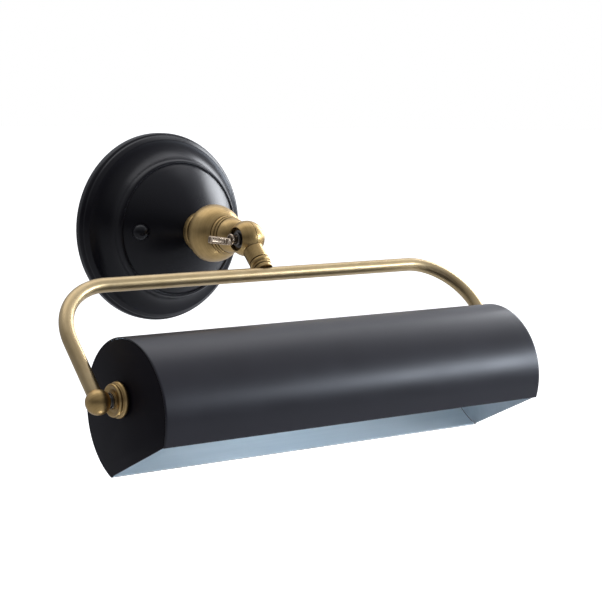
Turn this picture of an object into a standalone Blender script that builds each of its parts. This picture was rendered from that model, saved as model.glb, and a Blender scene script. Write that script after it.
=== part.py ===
"""Picture light: a round wall canopy, a turned brass arm with a clamped knuckle, a bent tube yoke and a
half-open cylindrical shade with two tubular lamps.

Origin at the centre of the crossbar's back face, which lies on the wall. +Z is up, +X is along the
shade, and the light stands out from the wall along -Y. Blender 4.5, metres.
"""

import math

import bmesh
import bpy
from mathutils import Matrix, Vector

MM = 0.001
GAP = 0.3 * MM  # left between touching pieces

# Canopy and what stands on its axis. Heights are distances from the wall.
CANOPY_RADIUS = 69.85 * MM
CANOPY_WALL = 1.1 * MM
DOME_SEAT_HEIGHT = 56.0 * MM
DOME_SEAT_RADIUS = 13.0 * MM
DOME_EDGE = (47.3 * MM, 30.5 * MM)
DOME_BULGE = 1.9 * MM
COVE_TOP = (51.2 * MM, 27.2 * MM)
COVE_RADIUS = 16.0 * MM
SCREW_SPREAD = 40.0 * MM
BALL_NUT_RADIUS = 6.0 * MM
BALL_NUT_HEIGHT = 41.0 * MM
STUD_RADIUS = 1.9 * MM
STUD_HOLE_PLAY = 0.5 * MM
CROSSBAR = (110.0 * MM, 1.8 * MM, 20.0 * MM)
SLOT_SPREAD = (26.0 * MM, 32.0 * MM)
SLOT_RADIUS = 2.2 * MM
GROUND_SCREW_PLACE = 12.0 * MM
LEAD_RADIUS = 1.1 * MM
LEAD_SPREAD = 1.9 * MM
CONNECTOR = (5.2 * MM, 3.2 * MM, 15.0 * MM)  # mouth radius, tip radius, length

NIPPLE_RADIUS = 4.9 * MM
NIPPLE_BORE = 3.5 * MM
NIPPLE_ENDS = (46.5 * MM, 101.8 * MM)
LOCK_WASHER = (8.6 * MM, 1.2 * MM)  # radius, thickness
LOCKNUT = (8.0 * MM, 3.4 * MM)
BOSS_BORE = NIPPLE_RADIUS + GAP
SEATING_RING_RADIUS = 14.3 * MM
TURNED_BALL_RADIUS = 20.6 * MM
TURNED_BALL_HEIGHT = 75.2 * MM
CHECK_RING_RADIUS = 13.7 * MM
CUP_RADIUS = 12.4 * MM
CUP_HEIGHT = 97.3 * MM

# Knuckle: two half balls on a cross axis, clamped by a thumb screw.
KNUCKLE = Vector((0.0, -116.2 * MM, -1.0 * MM))
KNUCKLE_RADIUS = 12.5 * MM
KNUCKLE_PLAY = 0.4 * MM
NECK_RADIUS = 6.5 * MM
NECK_FOOT_HEIGHT = 102.4 * MM
WIRE_WAY = 3.2 * MM
CHAMBER = (4.2 * MM, 8.6 * MM, 3.6 * MM)
COUNTERBORE = (8.2 * MM, 5.8 * MM)
SCREW_RADIUS = 2.3 * MM
SCREW_DEPTH = 7.0 * MM
SHOULDER_RADIUS = 3.1 * MM
FLAT_WASHER = (6.3 * MM, 1.2 * MM)
SPRING_WASHER = (4.6 * MM, 2.5 * MM)
COLLAR_FACE = 14.5 * MM
COLLAR_RADIUS = 3.9 * MM
HUB = (5.0 * MM, 4.2 * MM, 4.8 * MM)
BLADE = (15.5 * MM, 2.4 * MM, 5.0 * MM)
BLADE_HOLLOW = (10.0 * MM, 0.5 * MM, 2.6 * MM)  # length, depth, height
BLADE_LEAN = 8.0

# Yoke, in its own frame: origin at the knuckle, arms along -Z. It hangs swung out from the wall.
YOKE_SWING = 45.0
STEM_RADIUS = 7.25 * MM
STEM_END = 20.6 * MM
STEM_COLLAR = (20.9 * MM, 26.2 * MM, 7.5 * MM)
SADDLE_RADIUS = 6.6 * MM
SADDLE_FOOT = 29.0 * MM
RUN_DROP = 32.3 * MM
PIVOT_DROP = 120.8 * MM
TUBE_RADIUS = 4.7625 * MM
TUBE_WALL = 1.0 * MM
ARM_SPREAD = 168.8 * MM
BEND_RADIUS = 42.2 * MM
BALL_END_RADIUS = 8.1 * MM
ARM_END_RISE = 4.4 * MM  # arm's end above the pivot axis
SOCKET_RISE = 4.1 * MM
HARNESS_RADIUS = 1.7 * MM

# Shade, in its own frame: origin on the pivot axis, opening along -Z. It is tilted at rest.
SHADE_TILT = 25.3
SHADE_RADIUS = 46.4 * MM
SHADE_DROP = 8.7 * MM
SHADE_HALF_LENGTH = 152.4 * MM
SHADE_WALL = 0.9 * MM
OPENING_HALF_CHORD = 33.6 * MM
CAP_THICKNESS = 1.2 * MM
PIVOT_NIPPLE_RADIUS = 3.9 * MM
PIVOT_NIPPLE_BORE = 2.6 * MM
PIVOT_NIPPLE_INNER = 12.0 * MM
PIVOT_LOCKNUT = (7.0 * MM, 3.0 * MM)
LAMP_RADIUS = 12.5 * MM
LAMP_LENGTH = 80.0 * MM
LAMP_WALL = 0.8 * MM
LAMP_BASE_RADIUS = 6.3 * MM
LAMP_HOLDER_RADIUS = 10.0 * MM
LAMP_HOLDER_LENGTH = 30.0 * MM

OUT = Vector((0.0, -1.0, 0.0))
UP = Vector((0.0, 0.0, 1.0))
RIGHT = Vector((1.0, 0.0, 0.0))
CENTRE = Vector((0.0, 0.0, 0.0))

FINISHES = {
    "black_enamel": ((0.022, 0.021, 0.025), 0.34, 0.0),
    "antique_brass": ((0.46, 0.33, 0.15), 0.30, 1.0),
    "plated_steel": ((0.55, 0.54, 0.52), 0.35, 1.0),
    "green_steel": ((0.05, 0.30, 0.10), 0.45, 0.4),
    "porcelain": ((0.86, 0.84, 0.78), 0.25, 0.0),
    "lamp_glass": ((0.93, 0.92, 0.88), 0.20, 0.0),
    "connector_plastic": ((0.75, 0.28, 0.05), 0.50, 0.0),
    "lead_insulation": ((0.10, 0.10, 0.10), 0.55, 0.0),
}


def clear_scene():
    for item in list(bpy.data.objects):
        bpy.data.objects.remove(item, do_unlink=True)


def collection(name):
    made = bpy.data.collections.new(name)
    bpy.context.scene.collection.children.link(made)
    return made


def material(name, finish):
    colour, roughness, metallic = FINISHES[finish]
    made = bpy.data.materials.new(name + "_" + finish)
    made.use_nodes = True
    shader = made.node_tree.nodes["Principled BSDF"]
    shader.inputs["Base Color"].default_value = (*colour, 1.0)
    shader.inputs["Roughness"].default_value = roughness
    shader.inputs["Metallic"].default_value = metallic
    made.diffuse_color = (*colour, 1.0)
    return made


def axis_empty(name, at, turn_x=0.0, parent=None):
    """An empty on a joint's axis, which carries the pieces that turn on it."""
    empty = bpy.data.objects.new(name, None)
    empty.location = at
    empty.rotation_euler = (math.radians(turn_x), 0.0, 0.0)
    empty.parent = parent
    PARTS.objects.link(empty)
    return empty


def place(item, at, toward, parent):
    """Puts an object's origin at a point and turns its +Z to a direction, in its parent's frame."""
    item.location = at
    item.rotation_euler = UP.rotation_difference(Vector(toward)).to_euler()
    item.parent = parent
    return item


def part(name, mesh, finish, parent=None, at=CENTRE, toward=UP):
    item = bpy.data.objects.new(name, mesh)
    mesh.materials.append(material(name, finish))
    PARTS.objects.link(item)
    return place(item, at, toward, parent)


def cutter(name, mesh, parent=None, at=CENTRE, toward=UP):
    item = bpy.data.objects.new(name, mesh)
    item.hide_render = True
    item.display_type = "WIRE"
    CUTTERS.objects.link(item)
    return place(item, at, toward, parent)


def combine(item, other, operation="DIFFERENCE"):
    change = item.modifiers.new(other.name, "BOOLEAN")
    change.operation = operation
    change.solver = "EXACT"
    change.object = other
    return item


def arc(centre, radius, start, end, count):
    """Points on a circle from one angle to another, in degrees."""
    across, along = centre
    angles = [math.radians(start + (end - start) * i / count) for i in range(count + 1)]
    return [(across + radius * math.cos(a), along + radius * math.sin(a)) for a in angles]


def bowed(start, end, rise, count):
    """Points from start to end on a line bowed out by rise, to the left of its direction."""
    along = Vector(end) - Vector(start)
    side = Vector((-along.y, along.x)).normalized()
    steps = [i / count for i in range(count + 1)]
    return [tuple(Vector(start) + along * t + side * rise * 4.0 * t * (1.0 - t)) for t in steps]


def turned_mesh(name, profile):
    """A profile of (radius, height) points, which runs down the outer side, as loose edges for a Screw."""
    mesh = bpy.data.meshes.new(name)
    form = bmesh.new()
    points = [form.verts.new((r, 0.0, z)) for r, z in profile]
    for first, second in zip(points, points[1:]):
        form.edges.new((first, second))
    if profile[0][0] > 0.0:
        form.edges.new((points[-1], points[0]))
    form.to_mesh(mesh)
    form.free()
    return mesh


def turn(item, steps):
    screw = item.modifiers.new("Turn", "SCREW")
    screw.steps = steps
    screw.render_steps = steps
    screw.use_merge_vertices = True
    screw.merge_threshold = 0.00001
    screw.use_smooth_shade = True
    return item


def bored(profile, bore):
    """Closes a profile's outer side round a straight bore."""
    return profile + [(bore, profile[-1][1]), (bore, profile[0][1])]


def turned(name, profile, finish, parent=None, at=CENTRE, toward=OUT, steps=28):
    return turn(part(name, turned_mesh(name, profile), finish, parent, at, toward), steps)


def turned_cutter(name, profile, parent=None, at=CENTRE, toward=OUT, steps=28):
    return turn(cutter(name, turned_mesh(name, profile), parent, at, toward), steps)


def rod_mesh(name, radius, low, high, sides=16):
    """A cylinder, or a prism with few sides, along Z."""
    mesh = bpy.data.meshes.new(name)
    form = bmesh.new()
    middle = Matrix.Translation((0.0, 0.0, (low + high) / 2.0))
    bmesh.ops.create_cone(
        form, cap_ends=True, segments=sides, radius1=radius, radius2=radius, depth=high - low, matrix=middle
    )
    form.to_mesh(mesh)
    form.free()
    mesh.shade_smooth()
    mesh.set_sharp_from_angle(angle=math.radians(40.0))
    return mesh


def box_mesh(name, size):
    mesh = bpy.data.meshes.new(name)
    form = bmesh.new()
    bmesh.ops.create_cube(form, size=1.0, matrix=Matrix.Diagonal((*size, 1.0)))
    form.to_mesh(mesh)
    form.free()
    return mesh


def ball_mesh(name, radius, rings=12):
    mesh = bpy.data.meshes.new(name)
    form = bmesh.new()
    bmesh.ops.create_uvsphere(form, u_segments=2 * rings, v_segments=rings, radius=radius)
    form.to_mesh(mesh)
    form.free()
    mesh.shade_smooth()
    return mesh


def hex_nut(name, radius, low, high, bore, parent=None, at=CENTRE, toward=OUT):
    nut = part(name, rod_mesh(name, radius, low, high, 6), "plated_steel", parent, at, toward)
    hole = rod_mesh("nut_hole", bore, low - 1.0 * MM, high + 1.0 * MM)
    return combine(nut, cutter(name + "_hole", hole, parent, at, toward))


def soften(item, width, segments=2):
    bevel = item.modifiers.new("Soften", "BEVEL")
    bevel.width = width
    bevel.segments = segments
    bevel.limit_method = "ANGLE"
    return item


def wire_mesh(name, points, radius, resolution):
    """A round wire along a list of points, with closed ends."""
    curve = bpy.data.curves.new(name, "CURVE")
    curve.dimensions = "3D"
    curve.bevel_depth = radius
    curve.bevel_resolution = resolution
    curve.use_fill_caps = True
    line = curve.splines.new("POLY")
    line.points.add(len(points) - 1)
    for point, where in zip(line.points, points):
        point.co = (*where, 1.0)
    holder = bpy.data.objects.new(name, curve)
    PARTS.objects.link(holder)
    graph = bpy.context.evaluated_depsgraph_get()
    mesh = bpy.data.meshes.new_from_object(holder.evaluated_get(graph))
    bpy.data.objects.remove(holder, do_unlink=True)
    form = bmesh.new()
    form.from_mesh(mesh)
    bmesh.ops.remove_doubles(form, verts=form.verts, dist=0.00001)
    bmesh.ops.recalc_face_normals(form, faces=form.faces)
    form.to_mesh(mesh)
    form.free()
    mesh.materials.clear()
    mesh.shade_smooth()
    mesh.set_sharp_from_angle(angle=math.radians(50.0))
    return mesh


def smooth_route(stops, count):
    """Points on a Catmull-Rom curve through the stops."""
    ends = [2 * stops[0] - stops[1], *stops, 2 * stops[-1] - stops[-2]]
    route = []
    for a, b, c, d in zip(ends, ends[1:], ends[2:], ends[3:]):
        for i in range(count):
            t = i / count
            bend = (2 * a - 5 * b + 4 * c - d) * t * t + (3 * b - a - 3 * c + d) * t * t * t
            route.append((2 * b + (c - a) * t + bend) / 2)
    return route + [stops[-1]]


# ---- Wall canopy ----


def canopy_profile():
    """Outer side from the dome's seat to the rim, then the inner side back up."""
    dome_foot = DOME_EDGE[1]
    outer = [(BOSS_BORE, DOME_SEAT_HEIGHT)]
    outer += bowed((DOME_SEAT_RADIUS, DOME_SEAT_HEIGHT), DOME_EDGE, DOME_BULGE, 4)
    outer += [(47.8 * MM, dome_foot - 0.7 * MM), (48.6 * MM, dome_foot)]
    outer += [(49.9 * MM, dome_foot - 0.6 * MM), (50.8 * MM, dome_foot - 2.2 * MM)]
    cove_centre = (COVE_TOP[0] + COVE_RADIUS, COVE_TOP[1])
    outer += arc(cove_centre, COVE_RADIUS, 183.0, 262.0, 5)
    outer += [(66.3 * MM, 10.0 * MM), (67.6 * MM, 8.6 * MM), (68.0 * MM, 7.0 * MM)]
    outer += [(69.2 * MM, 6.3 * MM), (CANOPY_RADIUS, 5.0 * MM), (CANOPY_RADIUS, GAP)]
    inner = [(CANOPY_RADIUS - CANOPY_WALL, GAP), (CANOPY_RADIUS - 2.6 * MM, 5.0 * MM)]
    inner += arc(cove_centre, COVE_RADIUS + CANOPY_WALL, 258.0, 186.0, 3)
    inner += bowed(
        (DOME_EDGE[0] - 1.6 * MM, dome_foot - 0.9 * MM),
        (DOME_SEAT_RADIUS - 0.5 * MM, DOME_SEAT_HEIGHT - CANOPY_WALL),
        -DOME_BULGE,
        2,
    )
    return outer + inner + [(BOSS_BORE, DOME_SEAT_HEIGHT - CANOPY_WALL)]


def make_canopy():
    canopy = turned("canopy", canopy_profile(), "black_enamel", steps=36)
    for side in (-1, 1):
        nut = Vector((side * SCREW_SPREAD, -BALL_NUT_HEIGHT, 0.0))
        seat = cutter(f"ball_nut_seat_{side}", ball_mesh("seat", BALL_NUT_RADIUS + GAP, 7), None, nut)
        hole = rod_mesh("hole", STUD_RADIUS + STUD_HOLE_PLAY, 20.0 * MM, 60.0 * MM, 12)
        stud_hole = cutter(f"stud_hole_{side}", hole, None, (nut.x, 0.0, 0.0), OUT)
        combine(combine(canopy, seat), stud_hole)


def make_crossbar():
    length, thickness, width = CROSSBAR
    middle = OUT * thickness / 2.0
    bar = part("crossbar", box_mesh("crossbar", CROSSBAR), "plated_steel", None, middle)
    soften(bar, 0.4 * MM, 1)
    low, high = SLOT_SPREAD
    flat_width = 2.0 * SLOT_RADIUS * math.cos(math.pi / 12.0)
    for side in (-1, 1):
        for reach in (low, high):
            end = rod_mesh("slot_end", SLOT_RADIUS, -3.0 * MM, 3.0 * MM, 12)
            at = middle + side * reach * RIGHT
            combine(bar, cutter(f"slot_end_{side}_{reach:.3f}", end, None, at, OUT))
        slot = box_mesh("slot", (high - low, 6.0 * MM, flat_width))
        at = middle + side * (low + high) / 2.0 * RIGHT
        combine(bar, cutter(f"slot_{side}", slot, None, at))
        tapped = rod_mesh("tapped_hole", STUD_RADIUS + GAP, -3.0 * MM, 5.0 * MM, 12)
        combine(bar, cutter(f"tapped_hole_{side}", tapped, None, (side * SCREW_SPREAD, 0.0, 0.0), OUT))


def make_canopy_fastener(tag, side):
    """Stud through the crossbar and canopy, and the ball nut on it."""
    foot = Vector((side * SCREW_SPREAD, 0.0, 0.0))
    tip = BALL_NUT_HEIGHT + 0.5 * MM
    part(f"canopy_stud_{tag}", rod_mesh("stud", STUD_RADIUS, GAP, tip, 10), "plated_steel", None, foot, OUT)
    nut = ball_mesh("ball_nut", BALL_NUT_RADIUS, 8)
    ball_nut = part(f"ball_nut_{tag}", nut, "black_enamel", None, foot + OUT * BALL_NUT_HEIGHT, OUT)
    tapped = rod_mesh("nut_bore", STUD_RADIUS + GAP, 30.0 * MM, tip + 0.5 * MM, 10)
    combine(ball_nut, cutter(f"nut_bore_{tag}", tapped, None, foot, OUT))


def make_ground_screw():
    face = CROSSBAR[1] + GAP
    head = [(0.0, face + 2.6 * MM), (3.3 * MM, face + 2.6 * MM), (3.5 * MM, face + 0.9 * MM)]
    head += [(4.4 * MM, face + 0.7 * MM), (4.4 * MM, face), (0.0, face)]
    turned("ground_screw", head, "green_steel", None, GROUND_SCREW_PLACE * RIGHT, steps=12)


def make_supply_lead(tag, side):
    """A lead out of the nipple, bent round to a twist-on connector beside the crossbar."""
    tip = Vector((side * 26.0 * MM, -17.0 * MM, 22.0 * MM))
    stops = [Vector((side * LEAD_SPREAD, y * MM, 0.0)) for y in (-75.0, -60.0, -50.0, -45.0)]
    stops.append(Vector((side * 9.0 * MM, -37.0 * MM, -5.0 * MM)))
    stops.append(Vector((side * 22.0 * MM, -24.0 * MM, 2.0 * MM)))
    stops.append(tip)
    lead = wire_mesh("supply_lead", smooth_route(stops, 2), LEAD_RADIUS, 1)
    part(f"supply_lead_{tag}", lead, "lead_insulation")
    mouth, top, length = CONNECTOR
    cone = [(0.0, length), (top, length), (mouth, 0.0), (0.0, 0.0)]
    foot = tip + UP * 2.0 * MM
    turned(f"wire_connector_{tag}", cone, "connector_plastic", None, foot, UP, 12)


# ---- Turned brass boss, stacked on a threaded nipple ----


def make_nipple():
    back, front = NIPPLE_ENDS
    tube = bored([(NIPPLE_RADIUS, front), (NIPPLE_RADIUS, back)], NIPPLE_BORE)
    turned("nipple", tube, "antique_brass", steps=16)
    under = DOME_SEAT_HEIGHT - CANOPY_WALL - GAP
    radius, thickness = LOCK_WASHER
    washer = bored([(radius, under), (radius, under - thickness)], BOSS_BORE)
    turned("lock_washer", washer, "plated_steel", steps=16)
    top = under - thickness - GAP
    radius, thickness = LOCKNUT
    hex_nut("nipple_locknut", radius, top - thickness, top, BOSS_BORE)


def make_boss():
    r = SEATING_RING_RADIUS
    low = DOME_SEAT_HEIGHT + GAP
    ring = [(r - 0.8 * MM, 62.0 * MM), (r - 0.2 * MM, 61.7 * MM), (r, 61.0 * MM)]
    ring += [(r, low + 0.8 * MM), (r - 0.5 * MM, low)]
    turned("seating_ring", bored(ring, BOSS_BORE), "antique_brass", steps=24)

    start = math.degrees(math.asin((90.8 * MM - TURNED_BALL_HEIGHT) / TURNED_BALL_RADIUS))
    ball = arc((0.0, TURNED_BALL_HEIGHT), TURNED_BALL_RADIUS, start, -6.0, 6)
    ball += [(19.6 * MM, 71.6 * MM), (17.9 * MM, 69.2 * MM), (13.9 * MM, 63.3 * MM)]
    ball += [(12.9 * MM, 62.9 * MM), (12.9 * MM, 62.3 * MM)]
    turned("turned_ball", bored(ball, BOSS_BORE), "antique_brass", steps=28)

    r = CHECK_RING_RADIUS
    low = 91.1 * MM
    rings = [(12.7 * MM, 97.0 * MM), (13.2 * MM, 96.5 * MM), (13.2 * MM, 95.4 * MM)]
    rings += [(12.5 * MM, 94.9 * MM), (12.5 * MM, 94.4 * MM), (r - 0.3 * MM, 94.0 * MM)]
    rings += [(r, 93.4 * MM), (r, 91.8 * MM), (r - 0.6 * MM, low)]
    turned("check_ring", bored(rings, BOSS_BORE), "antique_brass", steps=24)

    cup = arc((0.0, CUP_HEIGHT), CUP_RADIUS, 54.0, 0.0, 4)
    inner = [(BOSS_BORE, CUP_HEIGHT), (BOSS_BORE, NECK_FOOT_HEIGHT - GAP)]
    inner += [(NECK_RADIUS + GAP, NECK_FOOT_HEIGHT - GAP), (NECK_RADIUS + GAP, cup[0][1])]
    swivel_cup = turned("swivel_cup", cup + inner, "antique_brass", steps=24)
    seat = ball_mesh("knuckle_seat", KNUCKLE_RADIUS + KNUCKLE_PLAY, 10)
    combine(swivel_cup, cutter("knuckle_seat", seat, None, KNUCKLE))


# ---- Knuckle ----


def half_ball_clearance(name, side, parent):
    """The half ball that the other half turns in."""
    radius = KNUCKLE_RADIUS + KNUCKLE_PLAY
    profile = [(0.0, radius)] + arc((0.0, 0.0), radius, 90.0, 0.0, 6)[1:]
    profile += [(radius, -GAP / 2.0), (0.0, -GAP / 2.0)]
    at = KNUCKLE if parent is None else CENTRE
    return turned_cutter(name, profile, parent, at, side * RIGHT)


def make_fixed_half():
    """Left half ball with the screw's counterbore, on a neck that screws on the nipple."""
    hole, floor = COUNTERBORE
    inside, outside, depth = CHAMBER
    face = GAP / 2.0
    start = math.degrees(math.acos(hole / KNUCKLE_RADIUS))
    profile = arc((0.0, 0.0), KNUCKLE_RADIUS, start, 0.0, 4)[:-1]
    profile += [(KNUCKLE_RADIUS, face), (outside, face), (outside, depth)]
    profile += [(inside, depth), (inside, face)]
    profile += [(SCREW_RADIUS + GAP, face), (SCREW_RADIUS + GAP, floor), (hole, floor)]
    half = turned("knuckle_fixed_half", profile, "antique_brass", None, KNUCKLE, -RIGHT, 24)
    neck_foot = Vector((0.0, -NECK_FOOT_HEIGHT, 0.0))
    reach = abs(KNUCKLE.y) - NECK_FOOT_HEIGHT
    neck = rod_mesh("fixed_neck", NECK_RADIUS, 0.0, reach - 9.4 * MM, 20)
    combine(half, cutter("fixed_neck", neck, None, neck_foot, OUT), "UNION")
    combine(half, half_ball_clearance("fixed_clearance", 1, None))
    way = rod_mesh("fixed_wire_way", WIRE_WAY, -1.0 * MM, reach - 6.0 * MM, 12)
    combine(half, cutter("fixed_wire_way", way, None, neck_foot, OUT))


def make_thumb_screw(parent):
    """Clamping screw with a shoulder, a collar and a flat hollowed blade."""
    profile = [(0.0, COLLAR_FACE), (COLLAR_RADIUS - 0.4 * MM, COLLAR_FACE)]
    profile += [(COLLAR_RADIUS, COLLAR_FACE - 0.4 * MM), (COLLAR_RADIUS, 13.2 * MM)]
    profile += [(SHOULDER_RADIUS, 12.9 * MM), (SHOULDER_RADIUS, 10.8 * MM)]
    profile += [(SCREW_RADIUS, 10.8 * MM), (SCREW_RADIUS, -SCREW_DEPTH), (0.0, -SCREW_DEPTH)]
    screw = turned("thumb_screw", profile, "antique_brass", parent, CENTRE, -RIGHT, 16)
    length, thickness, _ = BLADE
    hollow_length, hollow_depth, hollow_height = BLADE_HOLLOW
    hub_place = Vector((-COLLAR_FACE - 1.6 * MM, -0.6 * MM, -1.3 * MM))
    hub = cutter("blade_hub", box_mesh("blade_hub", HUB), parent, hub_place)
    soften(hub, 0.8 * MM)
    combine(screw, hub, "UNION")
    lean = math.radians(BLADE_LEAN)
    centre = Vector((-COLLAR_FACE - 2.4 * MM - length / 2.0, -0.6 * MM, -0.2 * MM))
    blade = cutter("blade", box_mesh("blade", BLADE), parent, centre)
    blade.rotation_euler = (0.0, lean, 0.0)
    soften(blade, 0.9 * MM)
    combine(screw, blade, "UNION")
    for side in (-1, 1):
        hollow_mesh = box_mesh("hollow", (hollow_length, thickness, hollow_height))
        at = centre - side * (thickness - hollow_depth) * OUT
        hollow = cutter(f"blade_hollow_{side}", hollow_mesh, parent, at)
        hollow.rotation_euler = (0.0, lean, 0.0)
        combine(screw, hollow)


def make_knuckle_washers():
    floor = COUNTERBORE[1]
    low = floor + GAP
    r, thickness = FLAT_WASHER
    flat = bored([(r, low + thickness), (r, low)], SCREW_RADIUS + GAP)
    turned("flat_washer", flat, "plated_steel", None, KNUCKLE, -RIGHT, 18)
    low += thickness + GAP
    r, height = SPRING_WASHER
    coils = [(r, low + height), (r, low + 0.6 * height), (r - 0.7 * MM, low + 0.5 * height)]
    coils += [(r, low + 0.4 * height), (r, low)]
    coils = bored(coils, SCREW_RADIUS + GAP)
    turned("spring_washer", coils, "plated_steel", None, KNUCKLE, -RIGHT, 18)


# ---- Yoke ----


def make_moving_half(yoke):
    """Right half ball with the stem that carries the yoke."""
    inside, outside, depth = CHAMBER
    face = GAP / 2.0
    bore = SCREW_RADIUS + GAP
    profile = [(0.0, KNUCKLE_RADIUS)] + arc((0.0, 0.0), KNUCKLE_RADIUS, 90.0, 0.0, 6)[1:-1]
    profile += [(KNUCKLE_RADIUS, face), (outside, face), (outside, depth)]
    profile += [(inside, depth), (inside, face)]
    profile += [(bore, face), (bore, SCREW_DEPTH + 1.0 * MM), (0.0, SCREW_DEPTH + 1.0 * MM)]
    half = turned("knuckle_moving_half", profile, "antique_brass", yoke, CENTRE, RIGHT, 24)
    stem = cutter("stem", rod_mesh("stem", STEM_RADIUS, 9.5 * MM, STEM_END, 20), yoke, CENTRE, -UP)
    combine(half, stem, "UNION")
    combine(half, half_ball_clearance("moving_clearance", -1, yoke))
    way = rod_mesh("stem_wire_way", WIRE_WAY, 6.0 * MM, STEM_END + 1.0 * MM, 12)
    combine(half, cutter("stem_wire_way", way, yoke, CENTRE, -UP))


def make_stem_fittings(yoke):
    low, high, r = STEM_COLLAR
    collar = [(r - 1.2 * MM, high), (r - 0.6 * MM, high - 0.4 * MM), (r - 0.5 * MM, high - 1.2 * MM)]
    collar += [(r - 1.0 * MM, high - 1.8 * MM), (r - 0.3 * MM, high - 2.3 * MM), (r, high - 3.0 * MM)]
    collar += [(r, low + 1.1 * MM), (r - 0.3 * MM, low + 0.4 * MM), (r - 0.9 * MM, low)]
    turned("stem_collar", bored(collar, WIRE_WAY), "antique_brass", yoke, CENTRE, -UP, 20)
    spigot = bored([(SADDLE_RADIUS, SADDLE_FOOT), (SADDLE_RADIUS, high + GAP)], WIRE_WAY)
    saddle = turned("tube_saddle", spigot, "antique_brass", yoke, CENTRE, -UP, 18)
    run = rod_mesh("saddle_cut", TUBE_RADIUS + GAP, -10.0 * MM, 10.0 * MM, 16)
    combine(saddle, cutter("saddle_cut", run, yoke, (0.0, 0.0, -RUN_DROP), RIGHT))


def yoke_route(end_drop, sides=7):
    """The tube's centre line from the left arm's end, over the run, to the right arm's end."""
    bend = BEND_RADIUS
    corner = (ARM_SPREAD - bend, -RUN_DROP - bend)
    right = [(x, 0.0, z) for x, z in arc(corner, bend, 90.0, 0.0, sides)]
    right.append((ARM_SPREAD, 0.0, -end_drop))
    left = [(-x, y, z) for x, y, z in reversed(right)]
    return left + right


def make_tube(yoke):
    end = PIVOT_DROP - ARM_END_RISE
    tube = part("yoke_tube", wire_mesh("yoke_tube", yoke_route(end), TUBE_RADIUS, 3), "antique_brass", yoke)
    inside = wire_mesh("tube_inside", yoke_route(end + 2.0 * MM), TUBE_RADIUS - TUBE_WALL, 2)
    combine(tube, cutter("tube_inside", inside, yoke))
    harness = wire_mesh("yoke_harness", yoke_route(end - 0.5 * MM), HARNESS_RADIUS, 1)
    part("yoke_harness", harness, "lead_insulation", yoke)


def make_ball_end(name, side, yoke):
    """Ball on an arm's end: the arm enters from above and the pivot from the shade's side."""
    at = Vector((side * ARM_SPREAD, 0.0, -PIVOT_DROP))
    r = BALL_END_RADIUS
    ball = [(0.0, r)] + arc((0.0, 0.0), r, 90.0, -90.0, 10)[1:-1] + [(0.0, -r)]
    end = turned(name, ball, "antique_brass", yoke, at, UP, 20)
    socket = rod_mesh("arm_socket", TUBE_RADIUS + GAP, SOCKET_RISE, 12.0 * MM, 16)
    combine(end, cutter(name + "_socket", socket, yoke, at, UP))
    bore = rod_mesh("pivot_bore", PIVOT_NIPPLE_RADIUS + GAP, -5.0 * MM, 12.0 * MM, 14)
    combine(end, cutter(name + "_bore", bore, yoke, at, -side * RIGHT))


# ---- Shade ----


def shade_arc(radius, count):
    """The shell's section as (y, z) points, from the opening's front edge over the top to its back one."""
    half_opening = math.degrees(math.asin(OPENING_HALF_CHORD / SHADE_RADIUS))
    return arc((0.0, -SHADE_DROP), radius, 270.0 - half_opening, -90.0 + half_opening, count)


def make_shell(shade):
    mesh = bpy.data.meshes.new("shade_shell")
    form = bmesh.new()
    points = [form.verts.new((-SHADE_HALF_LENGTH, y, z)) for y, z in shade_arc(SHADE_RADIUS, 36)]
    edges = [form.edges.new(pair) for pair in zip(points, points[1:])]
    grown = bmesh.ops.extrude_edge_only(form, edges=edges)["geom"]
    far = [item for item in grown if isinstance(item, bmesh.types.BMVert)]
    bmesh.ops.translate(form, verts=far, vec=(2.0 * SHADE_HALF_LENGTH, 0.0, 0.0))
    bmesh.ops.recalc_face_normals(form, faces=form.faces)
    form.to_mesh(mesh)
    form.free()
    mesh.shade_smooth()
    shell = part("shade_shell", mesh, "black_enamel", shade)
    wall = shell.modifiers.new("Wall", "SOLIDIFY")
    wall.thickness = SHADE_WALL
    wall.offset = -1.0
    wall.use_even_offset = True


def make_cap(name, side, shade):
    """D-shaped plate inside the shell's end, flush with it."""
    outline = bpy.data.curves.new(name, "CURVE")
    outline.dimensions = "2D"
    outline.fill_mode = "BOTH"
    outline.extrude = CAP_THICKNESS / 2.0
    inside = SHADE_RADIUS - SHADE_WALL - GAP
    ring = outline.splines.new("POLY")
    points = shade_arc(inside, 36)
    ring.points.add(len(points) - 1)
    for point, (y, z) in zip(ring.points, points):
        point.co = (y, z, 0.0, 1.0)
    ring.use_cyclic_u = True
    holder = bpy.data.objects.new(name, outline)
    PARTS.objects.link(holder)
    graph = bpy.context.evaluated_depsgraph_get()
    mesh = bpy.data.meshes.new_from_object(holder.evaluated_get(graph))
    bpy.data.objects.remove(holder, do_unlink=True)
    form = bmesh.new()
    form.from_mesh(mesh)
    bmesh.ops.remove_doubles(form, verts=form.verts, dist=0.00001)
    turn_to_section = Matrix(((0, 0, 1, 0), (1, 0, 0, 0), (0, 1, 0, 0), (0, 0, 0, 1)))
    bmesh.ops.transform(form, matrix=turn_to_section, verts=form.verts)
    bmesh.ops.recalc_face_normals(form, faces=form.faces)
    form.to_mesh(mesh)
    form.free()
    mesh.materials.clear()
    middle = side * (SHADE_HALF_LENGTH - CAP_THICKNESS / 2.0) * RIGHT
    cap = part(name, mesh, "black_enamel", shade, middle)
    hole = rod_mesh("pivot_hole", PIVOT_NIPPLE_RADIUS + GAP, -5.0 * MM, 5.0 * MM, 14)
    combine(cap, cutter(name + "_hole", hole, shade, middle, RIGHT))


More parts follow.
